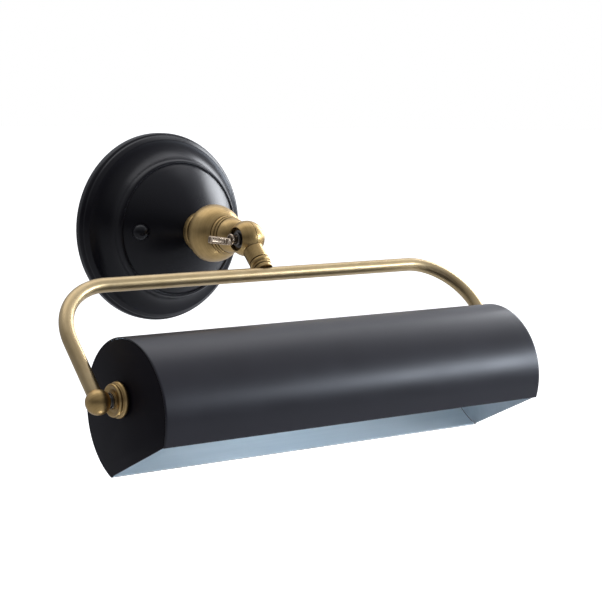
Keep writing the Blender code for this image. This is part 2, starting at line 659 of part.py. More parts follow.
def make_pivot(tag, side, shade):
    """Rosette, friction washer, hollow nipple and locknut on one end cap."""
    face = side * SHADE_HALF_LENGTH * RIGHT
    away = side * RIGHT
    bore = PIVOT_NIPPLE_RADIUS + GAP
    rosette = [(5.2 * MM, 7.7 * MM), (5.4 * MM, 6.6 * MM), (7.2 * MM, 6.2 * MM), (8.8 * MM, 6.8 * MM)]
    rosette += [(9.5 * MM, 7.4 * MM), (10.1 * MM, 7.1 * MM), (10.5 * MM, 6.3 * MM), (10.4 * MM, 5.5 * MM)]
    rosette += [(9.9 * MM, 4.9 * MM), (10.2 * MM, 4.4 * MM), (11.1 * MM, 3.8 * MM), (11.5 * MM, 3.0 * MM)]
    rosette += [(11.5 * MM, 2.3 * MM), (11.0 * MM, 1.2 * MM), (10.2 * MM, GAP)]
    turned(f"rosette_{tag}", bored(rosette, bore), "antique_brass", shade, face, away, 20)
    length = ARM_SPREAD - SHADE_HALF_LENGTH + 3.0 * MM
    tube = [(PIVOT_NIPPLE_RADIUS, length), (PIVOT_NIPPLE_RADIUS, -PIVOT_NIPPLE_INNER)]
    tube = bored(tube, PIVOT_NIPPLE_BORE)
    turned(f"pivot_nipple_{tag}", tube, "plated_steel", shade, face, away, 14)
    under = -CAP_THICKNESS - GAP
    radius, height = PIVOT_LOCKNUT
    hex_nut(f"pivot_locknut_{tag}", radius, under - height, under, bore, shade, face, away)


def make_lamp(tag, side, shade):
    """Lamp holder on the pivot nipple, and a hollow tubular lamp in it, along the pivot axis."""
    face = side * SHADE_HALF_LENGTH * RIGHT
    away = -side * RIGHT
    low = CAP_THICKNESS + PIVOT_LOCKNUT[1] + 2.0 * GAP
    r = LAMP_HOLDER_RADIUS
    end = low + LAMP_HOLDER_LENGTH
    holder = [(r, end), (r, low + 9.0 * MM), (r - 1.5 * MM, low + 7.5 * MM)]
    holder += [(r - 1.5 * MM, low + 1.0 * MM), (r - 2.5 * MM, low)]
    bore = PIVOT_NIPPLE_RADIUS + GAP
    floor = low + 8.5 * MM
    base_low = low + 12.0 * MM
    seat = base_low - GAP
    mouth = LAMP_BASE_RADIUS + GAP
    holder += [(bore, low), (bore, floor), (3.0 * MM, floor), (3.0 * MM, seat), (mouth, seat), (mouth, end)]
    turned(f"lamp_holder_{tag}", holder, "porcelain", shade, face, away, 16)
    glass_low = end + 1.0 * MM
    top = glass_low - GAP
    base = [(0.0, top), (LAMP_BASE_RADIUS, top), (LAMP_BASE_RADIUS, base_low + 4.0 * MM)]
    base += [(2.5 * MM, base_low), (0.0, base_low)]
    turned(f"lamp_base_{tag}", base, "plated_steel", shade, face, away, 14)
    tip = glass_low + LAMP_LENGTH
    glass = [(0.0, tip), (LAMP_RADIUS * 0.5, tip - 1.6 * MM), (LAMP_RADIUS * 0.87, tip - 6.0 * MM)]
    glass += [(LAMP_RADIUS, tip - 12.5 * MM), (LAMP_RADIUS, glass_low + 9.0 * MM)]
    glass += [(LAMP_RADIUS * 0.85, glass_low + 4.0 * MM), (7.0 * MM, glass_low)]
    inner = LAMP_RADIUS - LAMP_WALL
    glass += [(6.0 * MM, glass_low), (inner * 0.85, glass_low + 4.6 * MM), (inner, glass_low + 9.0 * MM)]
    glass += [(inner, tip - 13.0 * MM), (inner * 0.7, tip - 5.0 * MM), (0.0, tip - 2.6 * MM)]
    turned(f"lamp_glass_{tag}", glass, "lamp_glass", shade, face, away, 18)


def make_friction_washer(tag, side, yoke):
    """Thin washer between a rosette and its ball end."""
    at = Vector((side * SHADE_HALF_LENGTH, 0.0, -PIVOT_DROP))
    ring = bored([(4.9 * MM, 8.6 * MM), (4.9 * MM, 8.0 * MM)], PIVOT_NIPPLE_RADIUS + GAP)
    turned(f"friction_washer_{tag}", ring, "plated_steel", yoke, at, side * RIGHT, 14)


clear_scene()
PARTS = collection("picture_light")
CUTTERS = collection("cutters")

thumb_axis = axis_empty("thumb_screw_axis", KNUCKLE)
yoke_axis = axis_empty("knuckle_axis", KNUCKLE, -YOKE_SWING)
shade_axis = axis_empty("shade_axis", (0.0, 0.0, -PIVOT_DROP), YOKE_SWING - SHADE_TILT, yoke_axis)

make_crossbar()
make_canopy()
make_ground_screw()
make_nipple()
make_boss()
make_fixed_half()
make_knuckle_washers()
make_thumb_screw(thumb_axis)
make_moving_half(yoke_axis)
make_stem_fittings(yoke_axis)
make_tube(yoke_axis)
make_shell(shade_axis)
for tag, side in (("left", -1), ("right", 1)):
    make_canopy_fastener(tag, side)
    make_supply_lead(tag, side)
    make_ball_end(f"ball_end_{tag}", side, yoke_axis)
    make_friction_washer(tag, side, yoke_axis)
    make_cap(f"end_cap_{tag}", side, shade_axis)
    make_pivot(tag, side, shade_axis)
    make_lamp(tag, side, shade_axis)
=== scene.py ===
"""Looks of the picture light: a black enamelled wall canopy and half-open shade on an antique brass arm.

The frame is the row's: metres, +Z up, +X along the shade, -Y away from the wall.
"""

import math

import bmesh
import bpy
from mathutils import Matrix, Vector


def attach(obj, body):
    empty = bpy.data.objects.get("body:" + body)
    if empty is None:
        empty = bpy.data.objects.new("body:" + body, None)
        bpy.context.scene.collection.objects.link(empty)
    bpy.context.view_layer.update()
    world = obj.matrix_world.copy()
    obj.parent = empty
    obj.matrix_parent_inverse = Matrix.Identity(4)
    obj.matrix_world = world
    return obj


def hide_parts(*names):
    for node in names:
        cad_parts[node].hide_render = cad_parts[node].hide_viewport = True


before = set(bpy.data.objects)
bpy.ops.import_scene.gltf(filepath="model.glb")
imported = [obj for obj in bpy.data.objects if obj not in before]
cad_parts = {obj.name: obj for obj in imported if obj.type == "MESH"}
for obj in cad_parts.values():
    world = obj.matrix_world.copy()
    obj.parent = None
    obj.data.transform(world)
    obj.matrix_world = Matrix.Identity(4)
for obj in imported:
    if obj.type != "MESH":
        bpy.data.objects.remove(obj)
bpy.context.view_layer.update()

MM = 0.001
GAP = 0.3 * MM
OUT = Vector((0.0, -1.0, 0.0))
UP = Vector((0.0, 0.0, 1.0))
RIGHT = Vector((1.0, 0.0, 0.0))
CENTRE = Vector((0.0, 0.0, 0.0))
HERE = Matrix.Identity(4)

# Edges that bend by more than this many degrees are shaded sharp.
SHARP = 38.0
BLOCK_SHARP = 50.0
SHEET_SHARP = 60.0
NUT_SHARP = 25.0

# Sizes that the CAD has too.
CANOPY_RADIUS = 69.85 * MM
CANOPY_WALL = 1.1 * MM
DOME_SEAT_HEIGHT = 56.0 * MM
DOME_SEAT_RADIUS = 13.0 * MM
DOME_EDGE = (47.3 * MM, 30.5 * MM)
DOME_BULGE = 1.9 * MM
COVE_TOP = (51.2 * MM, 27.2 * MM)
COVE_RADIUS = 16.0 * MM
SCREW_SPREAD = 40.0 * MM
BALL_NUT_RADIUS = 6.0 * MM
BALL_NUT_HEIGHT = 41.0 * MM
STUD_RADIUS = 1.9 * MM
NIPPLE_RADIUS = 4.9 * MM
NIPPLE_BORE = 3.5 * MM
BOSS_BORE = NIPPLE_RADIUS + GAP
SEATING_RING_RADIUS = 14.3 * MM
TURNED_BALL_RADIUS = 20.6 * MM
TURNED_BALL_HEIGHT = 75.2 * MM
CHECK_RING_RADIUS = 13.7 * MM
CUP_RADIUS = 12.4 * MM
CUP_HEIGHT = 97.3 * MM
KNUCKLE = Vector((0.0, -116.2 * MM, -1.0 * MM))
KNUCKLE_RADIUS = 12.5 * MM
KNUCKLE_PLAY = 0.4 * MM
NECK_RADIUS = 6.5 * MM
NECK_FOOT_HEIGHT = 102.4 * MM
WIRE_WAY = 3.2 * MM
COUNTERBORE = (8.2 * MM, 5.8 * MM)
SCREW_RADIUS = 2.3 * MM
SCREW_DEPTH = 7.0 * MM
COLLAR_FACE = 14.5 * MM
COLLAR_RADIUS = 3.9 * MM
YOKE_SWING = 45.0
STEM_RADIUS = 7.25 * MM
STEM_END = 20.6 * MM
STEM_COLLAR = (20.9 * MM, 26.2 * MM, 7.5 * MM)
SADDLE_RADIUS = 6.6 * MM
SADDLE_FOOT = 29.0 * MM
RUN_DROP = 32.3 * MM
PIVOT_DROP = 120.8 * MM
TUBE_RADIUS = 4.7625 * MM
TUBE_WALL = 1.0 * MM
ARM_SPREAD = 168.8 * MM
BEND_RADIUS = 42.2 * MM
BALL_END_RADIUS = 8.0 * MM
SHADE_TILT = 25.3
SHADE_RADIUS = 46.32 * MM
SHADE_DROP = 8.7 * MM
SHADE_HALF_LENGTH = 152.4 * MM
SHADE_WALL = 0.9 * MM
OPENING_HALF_CHORD = 33.6 * MM
CAP_THICKNESS = 1.2 * MM
PIVOT_NIPPLE_RADIUS = 3.9 * MM
PIVOT_NIPPLE_BORE = 2.6 * MM

# How far the corners of fine threads are rounded.
THREAD_EASE = 0.05 * MM


# ---- Meshes ----


def towards(direction, at=CENTRE, parent=HERE):
    """Matrix whose +Z points in a direction of the parent's frame."""
    turn = UP.rotation_difference(Vector(direction)).to_matrix().to_4x4()
    return parent @ Matrix.Translation(at) @ turn


BOSS = towards(OUT)
YOKE = Matrix.Translation(KNUCKLE) @ Matrix.Rotation(math.radians(-YOKE_SWING), 4, "X")
PIVOT = Vector((0.0, 0.0, -PIVOT_DROP))
SHADE = YOKE @ Matrix.Translation(PIVOT) @ Matrix.Rotation(math.radians(YOKE_SWING - SHADE_TILT), 4, "X")


def arc(centre, radius, start, end, count):
    angles = [math.radians(start + (end - start) * i / count) for i in range(count + 1)]
    return [(centre[0] + radius * math.cos(a), centre[1] + radius * math.sin(a)) for a in angles]


def bowed(start, end, rise, count):
    along = Vector(end) - Vector(start)
    side = Vector((-along.y, along.x)).normalized()
    steps = [i / count for i in range(count + 1)]
    return [tuple(Vector(start) + along * t + side * rise * 4.0 * t * (1.0 - t)) for t in steps]


def bored(profile, bore):
    return profile + [(bore, profile[-1][1]), (bore, profile[0][1])]


NEARLY_STRAIGHT = math.radians(162.0)


def eased(profile, radius, closed, count=4):
    """Rounds the profile's sharp corners."""
    if radius <= 0.0:
        return profile
    made = []
    last = len(profile)
    for i, point in enumerate(profile):
        if not closed and i in (0, last - 1):
            made.append(point)
            continue
        here, before, after = Vector(point), Vector(profile[i - 1]), Vector(profile[(i + 1) % last])
        to_before, to_after = before - here, after - here
        short = min(to_before.length, to_after.length) < 1e-7
        if short or to_before.angle(to_after) > NEARLY_STRAIGHT:
            made.append(point)
            continue
        cut = min(radius, 0.42 * to_before.length, 0.42 * to_after.length)
        a, b = here + to_before.normalized() * cut, here + to_after.normalized() * cut
        for k in range(count + 1):
            t = k / count
            made.append(tuple(a * (1 - t) ** 2 + here * 2 * t * (1 - t) + b * t * t))
    return made


def mm(*numbers):
    """(radius, height) points in metres, from pairs of numbers in millimetres."""
    return [(a * MM, b * MM) for a, b in zip(numbers[::2], numbers[1::2])]


def finish_mesh(mesh, sharp=SHARP):
    mesh.shade_smooth()
    mesh.set_sharp_from_angle(angle=math.radians(sharp))
    return mesh


def face_outward(mesh):
    form = bmesh.new()
    form.from_mesh(mesh)
    bmesh.ops.recalc_face_normals(form, faces=form.faces)
    form.to_mesh(mesh)
    form.free()


def mesh_from(name, points, faces, sharp=SHARP):
    mesh = bpy.data.meshes.new(name)
    mesh.from_pydata([tuple(p) for p in points], [], faces)
    face_outward(mesh)
    return finish_mesh(mesh, sharp)


def lathe(name, profile, steps=128, ease=0.35 * MM, sharp=SHARP):
    """A profile of (radius, height) points turned about Z. It closes on itself if it starts off the axis."""
    closed = profile[0][0] > 1e-9
    profile = eased(profile, ease, closed)
    points, rings = [], []
    for radius, height in profile:
        if radius < 1e-9:
            rings.append([len(points)] * steps)
            points.append((0.0, 0.0, height))
            continue
        rings.append([len(points) + k for k in range(steps)])
        for k in range(steps):
            turn = 2 * math.pi * k / steps
            points.append((radius * math.cos(turn), radius * math.sin(turn), height))
    pairs = list(zip(rings, rings[1:])) + ([(rings[-1], rings[0])] if closed else [])
    faces = []
    for low, high in pairs:
        for k in range(steps):
            n = (k + 1) % steps
            corner = list(dict.fromkeys((low[k], low[n], high[n], high[k])))
            if len(corner) > 2:
                faces.append(corner)
    return mesh_from(name, points, faces, sharp)


def rod(name, radius, low, high, sides=64):
    return lathe(name, [(0.0, high), (radius, high), (radius, low), (0.0, low)], sides, 0.0)


def block(name, size, width, segments=4):
    """A box with rounded edges."""
    form = bmesh.new()
    bmesh.ops.create_cube(form, size=1.0, matrix=Matrix.Diagonal((*size, 1.0)))
    if width > 0.0:
        bmesh.ops.bevel(form, geom=form.edges, offset=width, segments=segments, profile=0.5, affect="EDGES")
    mesh = bpy.data.meshes.new(name)
    form.to_mesh(mesh)
    form.free()
    return finish_mesh(mesh, BLOCK_SHARP)


def ball(name, radius, steps=64):
    side = arc((0.0, 0.0), radius, 88.0, -88.0, steps // 2)
    return lathe(name, [(0.0, radius)] + side + [(0.0, -radius)], steps, 0.0)


def sweep(name, route, radius, sides=40, side=Vector((0.0, 1.0, 0.0)), bore=0.0):
    """A round tube along a route, with flat ends, hollow if it has a bore. UVs run round and along."""
    points, faces, uv = [], [], []
    lengths = [0.0]
    for a, b in zip(route, route[1:]):
        lengths.append(lengths[-1] + (b - a).length)
    skins = [radius] + ([bore] if bore > 0.0 else [])
    for skin in skins:
        for i, centre in enumerate(route):
            along = (route[min(i + 1, len(route) - 1)] - route[max(i - 1, 0)]).normalized()
            across = along.cross(side).normalized()
            up = across.cross(along).normalized()
            for k in range(sides):
                turn = 2 * math.pi * k / sides
                points.append(centre + (across * math.cos(turn) + up * math.sin(turn)) * skin)
    count = len(route)
    for layer, skin in enumerate(skins):
        first = layer * count * sides
        for i in range(count - 1):
            for k in range(sides):
                n = (k + 1) % sides
                a = first + i * sides
                faces.append([a + k, a + n, a + sides + n, a + sides + k])
                u0, u1 = 2 * math.pi * radius * k / sides, 2 * math.pi * radius * (k + 1) / sides
                uv.append([(u0, lengths[i]), (u1, lengths[i]), (u1, lengths[i + 1]), (u0, lengths[i + 1])])
    for end in (0, count - 1):
        outer = end * sides
        if bore > 0.0:
            inner = (count + end) * sides
            for k in range(sides):
                n = (k + 1) % sides
                faces.append([outer + k, outer + n, inner + n, inner + k])
                uv.append([(0.0, lengths[end])] * 4)
        else:
            faces.append([outer + k for k in range(sides)])
            uv.append([(0.0, lengths[end])] * sides)
    mesh = bpy.data.meshes.new(name)
    mesh.from_pydata([tuple(p) for p in points], [], faces)
    layer = mesh.uv_layers.new(name="along")
    for face, corners in zip(mesh.polygons, uv):
        for loop, corner in zip(face.loop_indices, corners):
            layer.data[loop].uv = corner
    face_outward(mesh)
    return finish_mesh(mesh, BLOCK_SHARP)


def smooth_route(stops, count):
    ends = [2 * stops[0] - stops[1], *stops, 2 * stops[-1] - stops[-2]]
    route = []
    for a, b, c, d in zip(ends, ends[1:], ends[2:], ends[3:]):
        for i in range(count):
            t = i / count
            bend = (2 * a - 5 * b + 4 * c - d) * t * t + (3 * b - a - 3 * c + d) * t * t * t
            route.append((2 * b + (c - a) * t + bend) / 2)
    return route + [stops[-1]]


def carved(mesh, matrix, changes, sharp=SHARP):
    """Applies exact Booleans, each (mesh, matrix, operation), and returns the new mesh in the same frame."""
    base = bpy.data.objects.new("base", mesh)
    base.matrix_world = matrix
    bpy.context.scene.collection.objects.link(base)
    tools = []
    for tool_mesh, tool_matrix, operation in changes:
        tool = bpy.data.objects.new("tool", tool_mesh)
        tool.matrix_world = tool_matrix
        bpy.context.scene.collection.objects.link(tool)
        change = base.modifiers.new("change", "BOOLEAN")
        change.operation = operation
        change.solver = "EXACT"
        change.object = tool
        tools.append(tool)
    bpy.context.view_layer.update()
    graph = bpy.context.evaluated_depsgraph_get()
    made = bpy.data.meshes.new_from_object(base.evaluated_get(graph))
    for item in [base, *tools]:
        bpy.data.objects.remove(item, do_unlink=True)
    return finish_mesh(made, sharp)


# ---- Materials ----


def shader_of(name):
    made = bpy.data.materials.new(name)
    made.use_nodes = True
    return made, made.node_tree, made.node_tree.nodes["Principled BSDF"]


def node(tree, kind, **values):
    made = tree.nodes.new(kind)
    for key, value in values.items():
        if key in made.inputs:
            made.inputs[key].default_value = value
        else:
            setattr(made, key, value)
    return made


def noise(tree, vector, scale, detail=3.0, roughness=0.55):
    made = node(tree, "ShaderNodeTexNoise")
    made.inputs["Scale"].default_value = scale
    made.inputs["Detail"].default_value = detail
    made.inputs["Roughness"].default_value = roughness
    tree.links.new(vector, made.inputs["Vector"])
    return made.outputs["Fac"]


def spread(tree, value, low, high, to_low, to_high):
    made = node(tree, "ShaderNodeMapRange")
    for socket, number in zip(("From Min", "From Max", "To Min", "To Max"), (low, high, to_low, to_high)):
        made.inputs[socket].default_value = number
    tree.links.new(value, made.inputs["Value"])
    return made.outputs["Result"]


def ranged(tree, value, to_low, to_high):
    """A noise's usual 0.3 to 0.7 taken to another range."""
    return spread(tree, value, 0.3, 0.7, to_low, to_high)


def blend_colour(tree, share, first, second):
    """Mixes two colours, each a tuple or a socket."""
    made = node(tree, "ShaderNodeMix", data_type="RGBA")
    tree.links.new(share, made.inputs[0])
    for socket, colour in ((made.inputs[6], first), (made.inputs[7], second)):
        if isinstance(colour, tuple):
            socket.default_value = (*colour, 1.0)
        else:
            tree.links.new(colour, socket)
    return made.outputs[2]


def maths(tree, operation, *values):
    made = node(tree, "ShaderNodeMath", operation=operation)
    for socket, value in zip(made.inputs, values):
        if isinstance(value, (int, float)):
            socket.default_value = value
        else:
            tree.links.new(value, socket)
    return made.outputs[0]


def bumps(tree, height, strength, distance, before=None):
    made = node(tree, "ShaderNodeBump")
    made.inputs["Strength"].default_value = strength
    made.inputs["Distance"].default_value = distance
    tree.links.new(height, made.inputs["Height"])
    if before is not None:
        tree.links.new(before, made.inputs["Normal"])
    return made.outputs["Normal"]


def object_point(tree, carried=False):
    """A point in the piece's own frame, with Z on its turning axis, or a carried CAD part's object point."""
    if carried:
        return node(tree, "ShaderNodeTexCoord").outputs["Object"]
    return node(tree, "ShaderNodeAttribute", attribute_name="own_place").outputs["Vector"]


def stretched(tree, vector, scale):
    made = node(tree, "ShaderNodeMapping")
    made.inputs["Scale"].default_value = scale
    tree.links.new(vector, made.inputs["Vector"])
    return made.outputs["Vector"]


def ring_point(tree):
    """(radius, 0, height) about the object's own Z axis, so that a pattern on it runs round the piece."""
    parts = node(tree, "ShaderNodeSeparateXYZ")
    tree.links.new(object_point(tree), parts.inputs[0])
    squares = [maths(tree, "POWER", parts.outputs[axis], 2.0) for axis in (0, 1)]
    square = maths(tree, "ADD", *squares)
    joined = node(tree, "ShaderNodeCombineXYZ")
    tree.links.new(maths(tree, "SQRT", square), joined.inputs[0])
    tree.links.new(parts.outputs[2], joined.inputs[2])
    return joined.outputs[0]


def crevice(tree, distance):
    """1 in the open and 0 in a tight corner; the materials use it to paint shade into corners."""
    made = node(tree, "ShaderNodeAmbientOcclusion", samples=6)
    made.inputs["Distance"].default_value = distance
    return made.outputs["AO"]


BRASS_LIGHT = (0.64, 0.445, 0.195)
BRASS_MID = (0.38, 0.242, 0.084)
# The darkest brass tone is painted shade, laid into tight corners.
BRASS_PAINTED_SHADE = (0.060, 0.032, 0.010)


def brass(name, lines="turned", light=BRASS_LIGHT, mid=BRASS_MID, dark=BRASS_PAINTED_SHADE, roughness=0.36):
    """Lacquered antique brass: fine brush lines, cloudy colour and painted shade that darkens its tight
    corners.
    """
    made, tree, shader = shader_of(name)
    point = object_point(tree)
    if lines == "turned":
        streaks = noise(tree, ring_point(tree), 5200.0, 4.0, 0.7)
        coarse = noise(tree, ring_point(tree), 900.0, 2.0)
    elif lines == "along":
        uv = node(tree, "ShaderNodeTexCoord").outputs["UV"]
        streaks = noise(tree, stretched(tree, uv, (4200.0, 60.0, 1.0)), 1.0, 4.0, 0.7)
        coarse = noise(tree, stretched(tree, uv, (700.0, 14.0, 1.0)), 1.0, 2.0)
    else:
        streaks = noise(tree, stretched(tree, point, (300.0, 300.0, 3200.0)), 1.0, 4.0, 0.7)
        coarse = noise(tree, point, 500.0, 2.0)
    clouds = noise(tree, point, 95.0, 3.0, 0.6)
    share = maths(tree, "MULTIPLY_ADD", coarse, 0.45, -0.10)
    share = maths(tree, "ADD", share, maths(tree, "MULTIPLY", clouds, 0.6))
    share = spread(tree, share, 0.22, 0.72, 0.0, 1.0)
    body = blend_colour(tree, share, light, mid)
    # Painted shade: the colour goes to the darkest tone where ambient occlusion finds a tight corner.
    unshaded_share = spread(tree, crevice(tree, 0.0045), 0.30, 0.92, 0.0, 1.0)
    tree.links.new(blend_colour(tree, unshaded_share, dark, body), shader.inputs["Base Color"])
    shader.inputs["Metallic"].default_value = 1.0
    polish = ranged(tree, streaks, roughness - 0.04, roughness + 0.07)
    grime = spread(tree, unshaded_share, 0.0, 1.0, 0.16, 0.0)
    tree.links.new(maths(tree, "ADD", polish, grime), shader.inputs["Roughness"])
    tree.links.new(bumps(tree, streaks, 0.16, 0.00003), shader.inputs["Normal"])
    shader.inputs["Coat Weight"].default_value = 0.15
    shader.inputs["Coat Roughness"].default_value = 0.25
    return made


def enamel(name, colour, roughness, gloss=0.5):
    """Satin black enamel with a faint orange peel and fine dust in the gloss."""
    made, tree, shader = shader_of(name)
    point = object_point(tree)
    peel = noise(tree, point, 1500.0, 3.0, 0.5)
    clouds = noise(tree, point, 26.0, 2.0)
    fine = noise(tree, point, 5200.0, 2.0)
    lighter = tuple(1.22 * c for c in colour)
    body = blend_colour(tree, ranged(tree, clouds, 0.0, 1.0), colour, lighter)
    tree.links.new(body, shader.inputs["Base Color"])
    broad = ranged(tree, clouds, roughness - 0.02, roughness + 0.03)
    tree.links.new(maths(tree, "ADD", broad, ranged(tree, fine, -0.015, 0.015)), shader.inputs["Roughness"])
    uneven = bumps(tree, fine, 0.05, 0.00002, bumps(tree, peel, 0.10, 0.00004))
    tree.links.new(uneven, shader.inputs["Normal"])
    shader.inputs["Specular IOR Level"].default_value = gloss
    return made


def brushed_inside(name, darker, lighter):
    """Pale brushed metal of the shade's reflecting side, streaked along the shade."""
    made, tree, shader = shader_of(name)
    point = object_point(tree)
    streaks = noise(tree, stretched(tree, point, (25.0, 2600.0, 2600.0)), 1.0, 4.0, 0.7)
    broad = noise(tree, stretched(tree, point, (6.0, 160.0, 160.0)), 1.0, 2.0)
    halves = [maths(tree, "MULTIPLY", pattern, 0.5) for pattern in (streaks, broad)]
    share = spread(tree, maths(tree, "ADD", *halves), 0.35, 0.65, 0.0, 1.0)
    tree.links.new(blend_colour(tree, share, darker, lighter), shader.inputs["Base Color"])
    shader.inputs["Metallic"].default_value = 0.35
    tree.links.new(ranged(tree, streaks, 0.34, 0.46), shader.inputs["Roughness"])
    tree.links.new(bumps(tree, streaks, 0.12, 0.00002), shader.inputs["Normal"])
    return made


def steel(name, colour=(0.50, 0.50, 0.50), tint=(0.40, 0.39, 0.36), roughness=0.36, metallic=1.0,
          turned=True):
    """Zinc-plated steel with cloudy plating and painted shade in its tight corners. When it is not turned, it
    is a flat carried-over CAD part's.
    """
    made, tree, shader = shader_of(name)
    point = object_point(tree, not turned)
    if turned:
        lines = noise(tree, ring_point(tree), 4200.0)
    else:
        lines = noise(tree, stretched(tree, point, (120.0, 3000.0, 3000.0)), 1.0)
    clouds = noise(tree, point, 220.0, 3.0)
    body = blend_colour(tree, spread(tree, clouds, 0.35, 0.65, 0.0, 1.0), colour, tint)
    # Painted shade: a dark copy of the tint, laid into tight corners.
    dark = tuple(0.3 * c for c in tint)
    unshaded_share = spread(tree, crevice(tree, 0.003), 0.25, 0.9, 0.0, 1.0)
    tree.links.new(blend_colour(tree, unshaded_share, dark, body), shader.inputs["Base Color"])
    shader.inputs["Metallic"].default_value = metallic
    tree.links.new(ranged(tree, lines, roughness - 0.06, roughness + 0.08), shader.inputs["Roughness"])
    tree.links.new(bumps(tree, lines, 0.15, 0.00003), shader.inputs["Normal"])
    return made


GRAIN_BUMP = 0.06


def plain(name, first, second, roughness, scale=300.0, coat=0.0, carried=False):
    """Non-metal with slight colour variation: porcelain, plastic or insulation."""
    made, tree, shader = shader_of(name)
    point = object_point(tree, carried)
    clouds = noise(tree, point, scale)
    body = blend_colour(tree, ranged(tree, clouds, 0.0, 1.0), first, second)
    tree.links.new(body, shader.inputs["Base Color"])
    tree.links.new(ranged(tree, clouds, roughness - 0.04, roughness + 0.04), shader.inputs["Roughness"])
    grain = noise(tree, point, scale * 8.0, 2.0)
    tree.links.new(bumps(tree, grain, GRAIN_BUMP, 0.00004), shader.inputs["Normal"])
    shader.inputs["Coat Weight"].default_value = coat
    return made


turned_brass = brass("turned_brass")
# A lighter copy of the brass: painted light, standing in for the brighter light on the tube.
tube_brass_lit = brass("tube_brass_lit", "along", (0.66, 0.51, 0.29), (0.50, 0.36, 0.175))
screw_brass = brass("screw_brass", "cast", (0.60, 0.48, 0.36), (0.47, 0.35, 0.24), (0.07, 0.045, 0.025), 0.26)
plate_black = enamel("plate_enamel", (0.0028, 0.0022, 0.0050), 0.30, 0.36)
shade_black = enamel("shade_enamel", (0.0072, 0.0060, 0.0120), 0.35, 0.5)
cap_black = enamel("cap_enamel", (0.0075, 0.0062, 0.0092), 0.50, 0.10)
inside_pale = brushed_inside("brushed_inside", (0.72, 0.80, 0.85), (0.80, 0.87, 0.92))
# A darker copy of the inside metal: painted shade on the end caps' inner faces.
inside_cap_shaded = brushed_inside("brushed_cap_inside_shaded", (0.46, 0.52, 0.57), (0.54, 0.60, 0.65))
zinc = steel("zinc_plate")
flat_zinc = steel("zinc_plate_flat", turned=False)
dull_washer = steel("washer_steel", (0.30, 0.29, 0.28), (0.20, 0.18, 0.16), 0.38)
green = steel("green_plate", (0.05, 0.30, 0.10), (0.03, 0.20, 0.06), 0.4, 0.6)
porcelain = plain("glazed_porcelain", (0.80, 0.78, 0.72), (0.86, 0.84, 0.79), 0.22, 120.0, 0.5)
opal = plain("opal_glass", (0.84, 0.83, 0.79), (0.90, 0.89, 0.86), 0.28, 60.0, 0.4)
orange = plain("connector_orange", (0.66, 0.20, 0.03), (0.78, 0.27, 0.05), 0.45)
BLACKS = ((0.012, 0.012, 0.012), (0.022, 0.022, 0.022))
insulation = plain("black_insulation", *BLACKS, 0.5)
harness_insulation = plain("harness_insulation", *BLACKS, 0.5, carried=True)


def piece(name, mesh, matrix, body, materials, node_name):
    """A piece of the light, in place of the CAD part node_name.

    Its mesh is moved into the row frame and keeps its own coordinates for the patterns.
    """
    own = mesh.attributes.new("own_place", "FLOAT_VECTOR", "POINT")
    own.data.foreach_set("vector", [value for vertex in mesh.vertices for value in vertex.co])
    mesh.transform(matrix)
    made = bpy.data.objects.new(name, mesh)
    mesh.materials.clear()
    for item in materials if isinstance(materials, list) else [materials]:
        mesh.materials.append(item)
    bpy.context.scene.collection.objects.link(made)
    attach(made, body)
    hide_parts(node_name)
    return made


def brass_piece(name, mesh, matrix, body, node_name, material=turned_brass):
    piece(name, mesh, matrix, body, material, node_name)


def steel_piece(name, mesh, matrix, body, node_name, material=zinc):
    piece(name, mesh, matrix, body, material, node_name)


# ---- Wall canopy ----


def make_canopy():
    foot = DOME_EDGE[1]
    outer = [(BOSS_BORE, DOME_SEAT_HEIGHT)]
    outer += bowed((DOME_SEAT_RADIUS, DOME_SEAT_HEIGHT), DOME_EDGE, DOME_BULGE, 14)
    outer += [(47.8 * MM, foot - 0.7 * MM), (48.6 * MM, foot)]
    outer += [(49.9 * MM, foot - 0.6 * MM), (50.8 * MM, foot - 2.2 * MM)]
    cove = (COVE_TOP[0] + COVE_RADIUS, COVE_TOP[1])
    outer += arc(cove, COVE_RADIUS, 183.0, 262.0, 16)
    outer += mm(66.3, 10.0, 67.6, 8.6, 68.0, 7.0, 69.2, 6.3)
    outer += [(CANOPY_RADIUS, 5.0 * MM), (CANOPY_RADIUS, GAP)]
    inner = [(CANOPY_RADIUS - CANOPY_WALL, GAP), (CANOPY_RADIUS - 2.4 * MM, 5.0 * MM)]
    inner += arc(cove, COVE_RADIUS + CANOPY_WALL, 258.0, 186.0, 12)
    inner += bowed(
        (DOME_EDGE[0] - 1.6 * MM, foot - 0.9 * MM),
        (DOME_SEAT_RADIUS - 0.5 * MM, DOME_SEAT_HEIGHT - CANOPY_WALL), -DOME_BULGE, 10,
    )
    profile = outer + inner + [(BOSS_BORE, DOME_SEAT_HEIGHT - CANOPY_WALL)]
    mesh = lathe("canopy_skin", profile, 180, 0.5 * MM)
    cuts = []
    for side in (-1, 1):
        nut = Vector((side * SCREW_SPREAD, -BALL_NUT_HEIGHT, 0.0))
        cuts.append((ball("seat", BALL_NUT_RADIUS + 0.2 * MM, 48), Matrix.Translation(nut), "DIFFERENCE"))
        hole = rod("hole", STUD_RADIUS + 0.5 * MM, 20.0 * MM, 60.0 * MM, 32)
        cuts.append((hole, towards(OUT, Vector((nut.x, 0.0, 0.0))), "DIFFERENCE"))
    mesh = carved(mesh, BOSS, cuts)
    piece("canopy_skin", mesh, BOSS, "wall_plate", plate_black, "canopy")


def threaded(radius, low, high, pitch, depth):
    """The outer side of a threaded rod as fine rings, from the top down."""
    count = int((high - low) / pitch)
    side = []
    for i in range(count):
        top = high - (high - low) * i / count
        for drop, draw in ((0.1, depth), (0.5, 0.0), (0.9, depth)):
            side.append((radius - draw, top - drop * pitch))
    return side


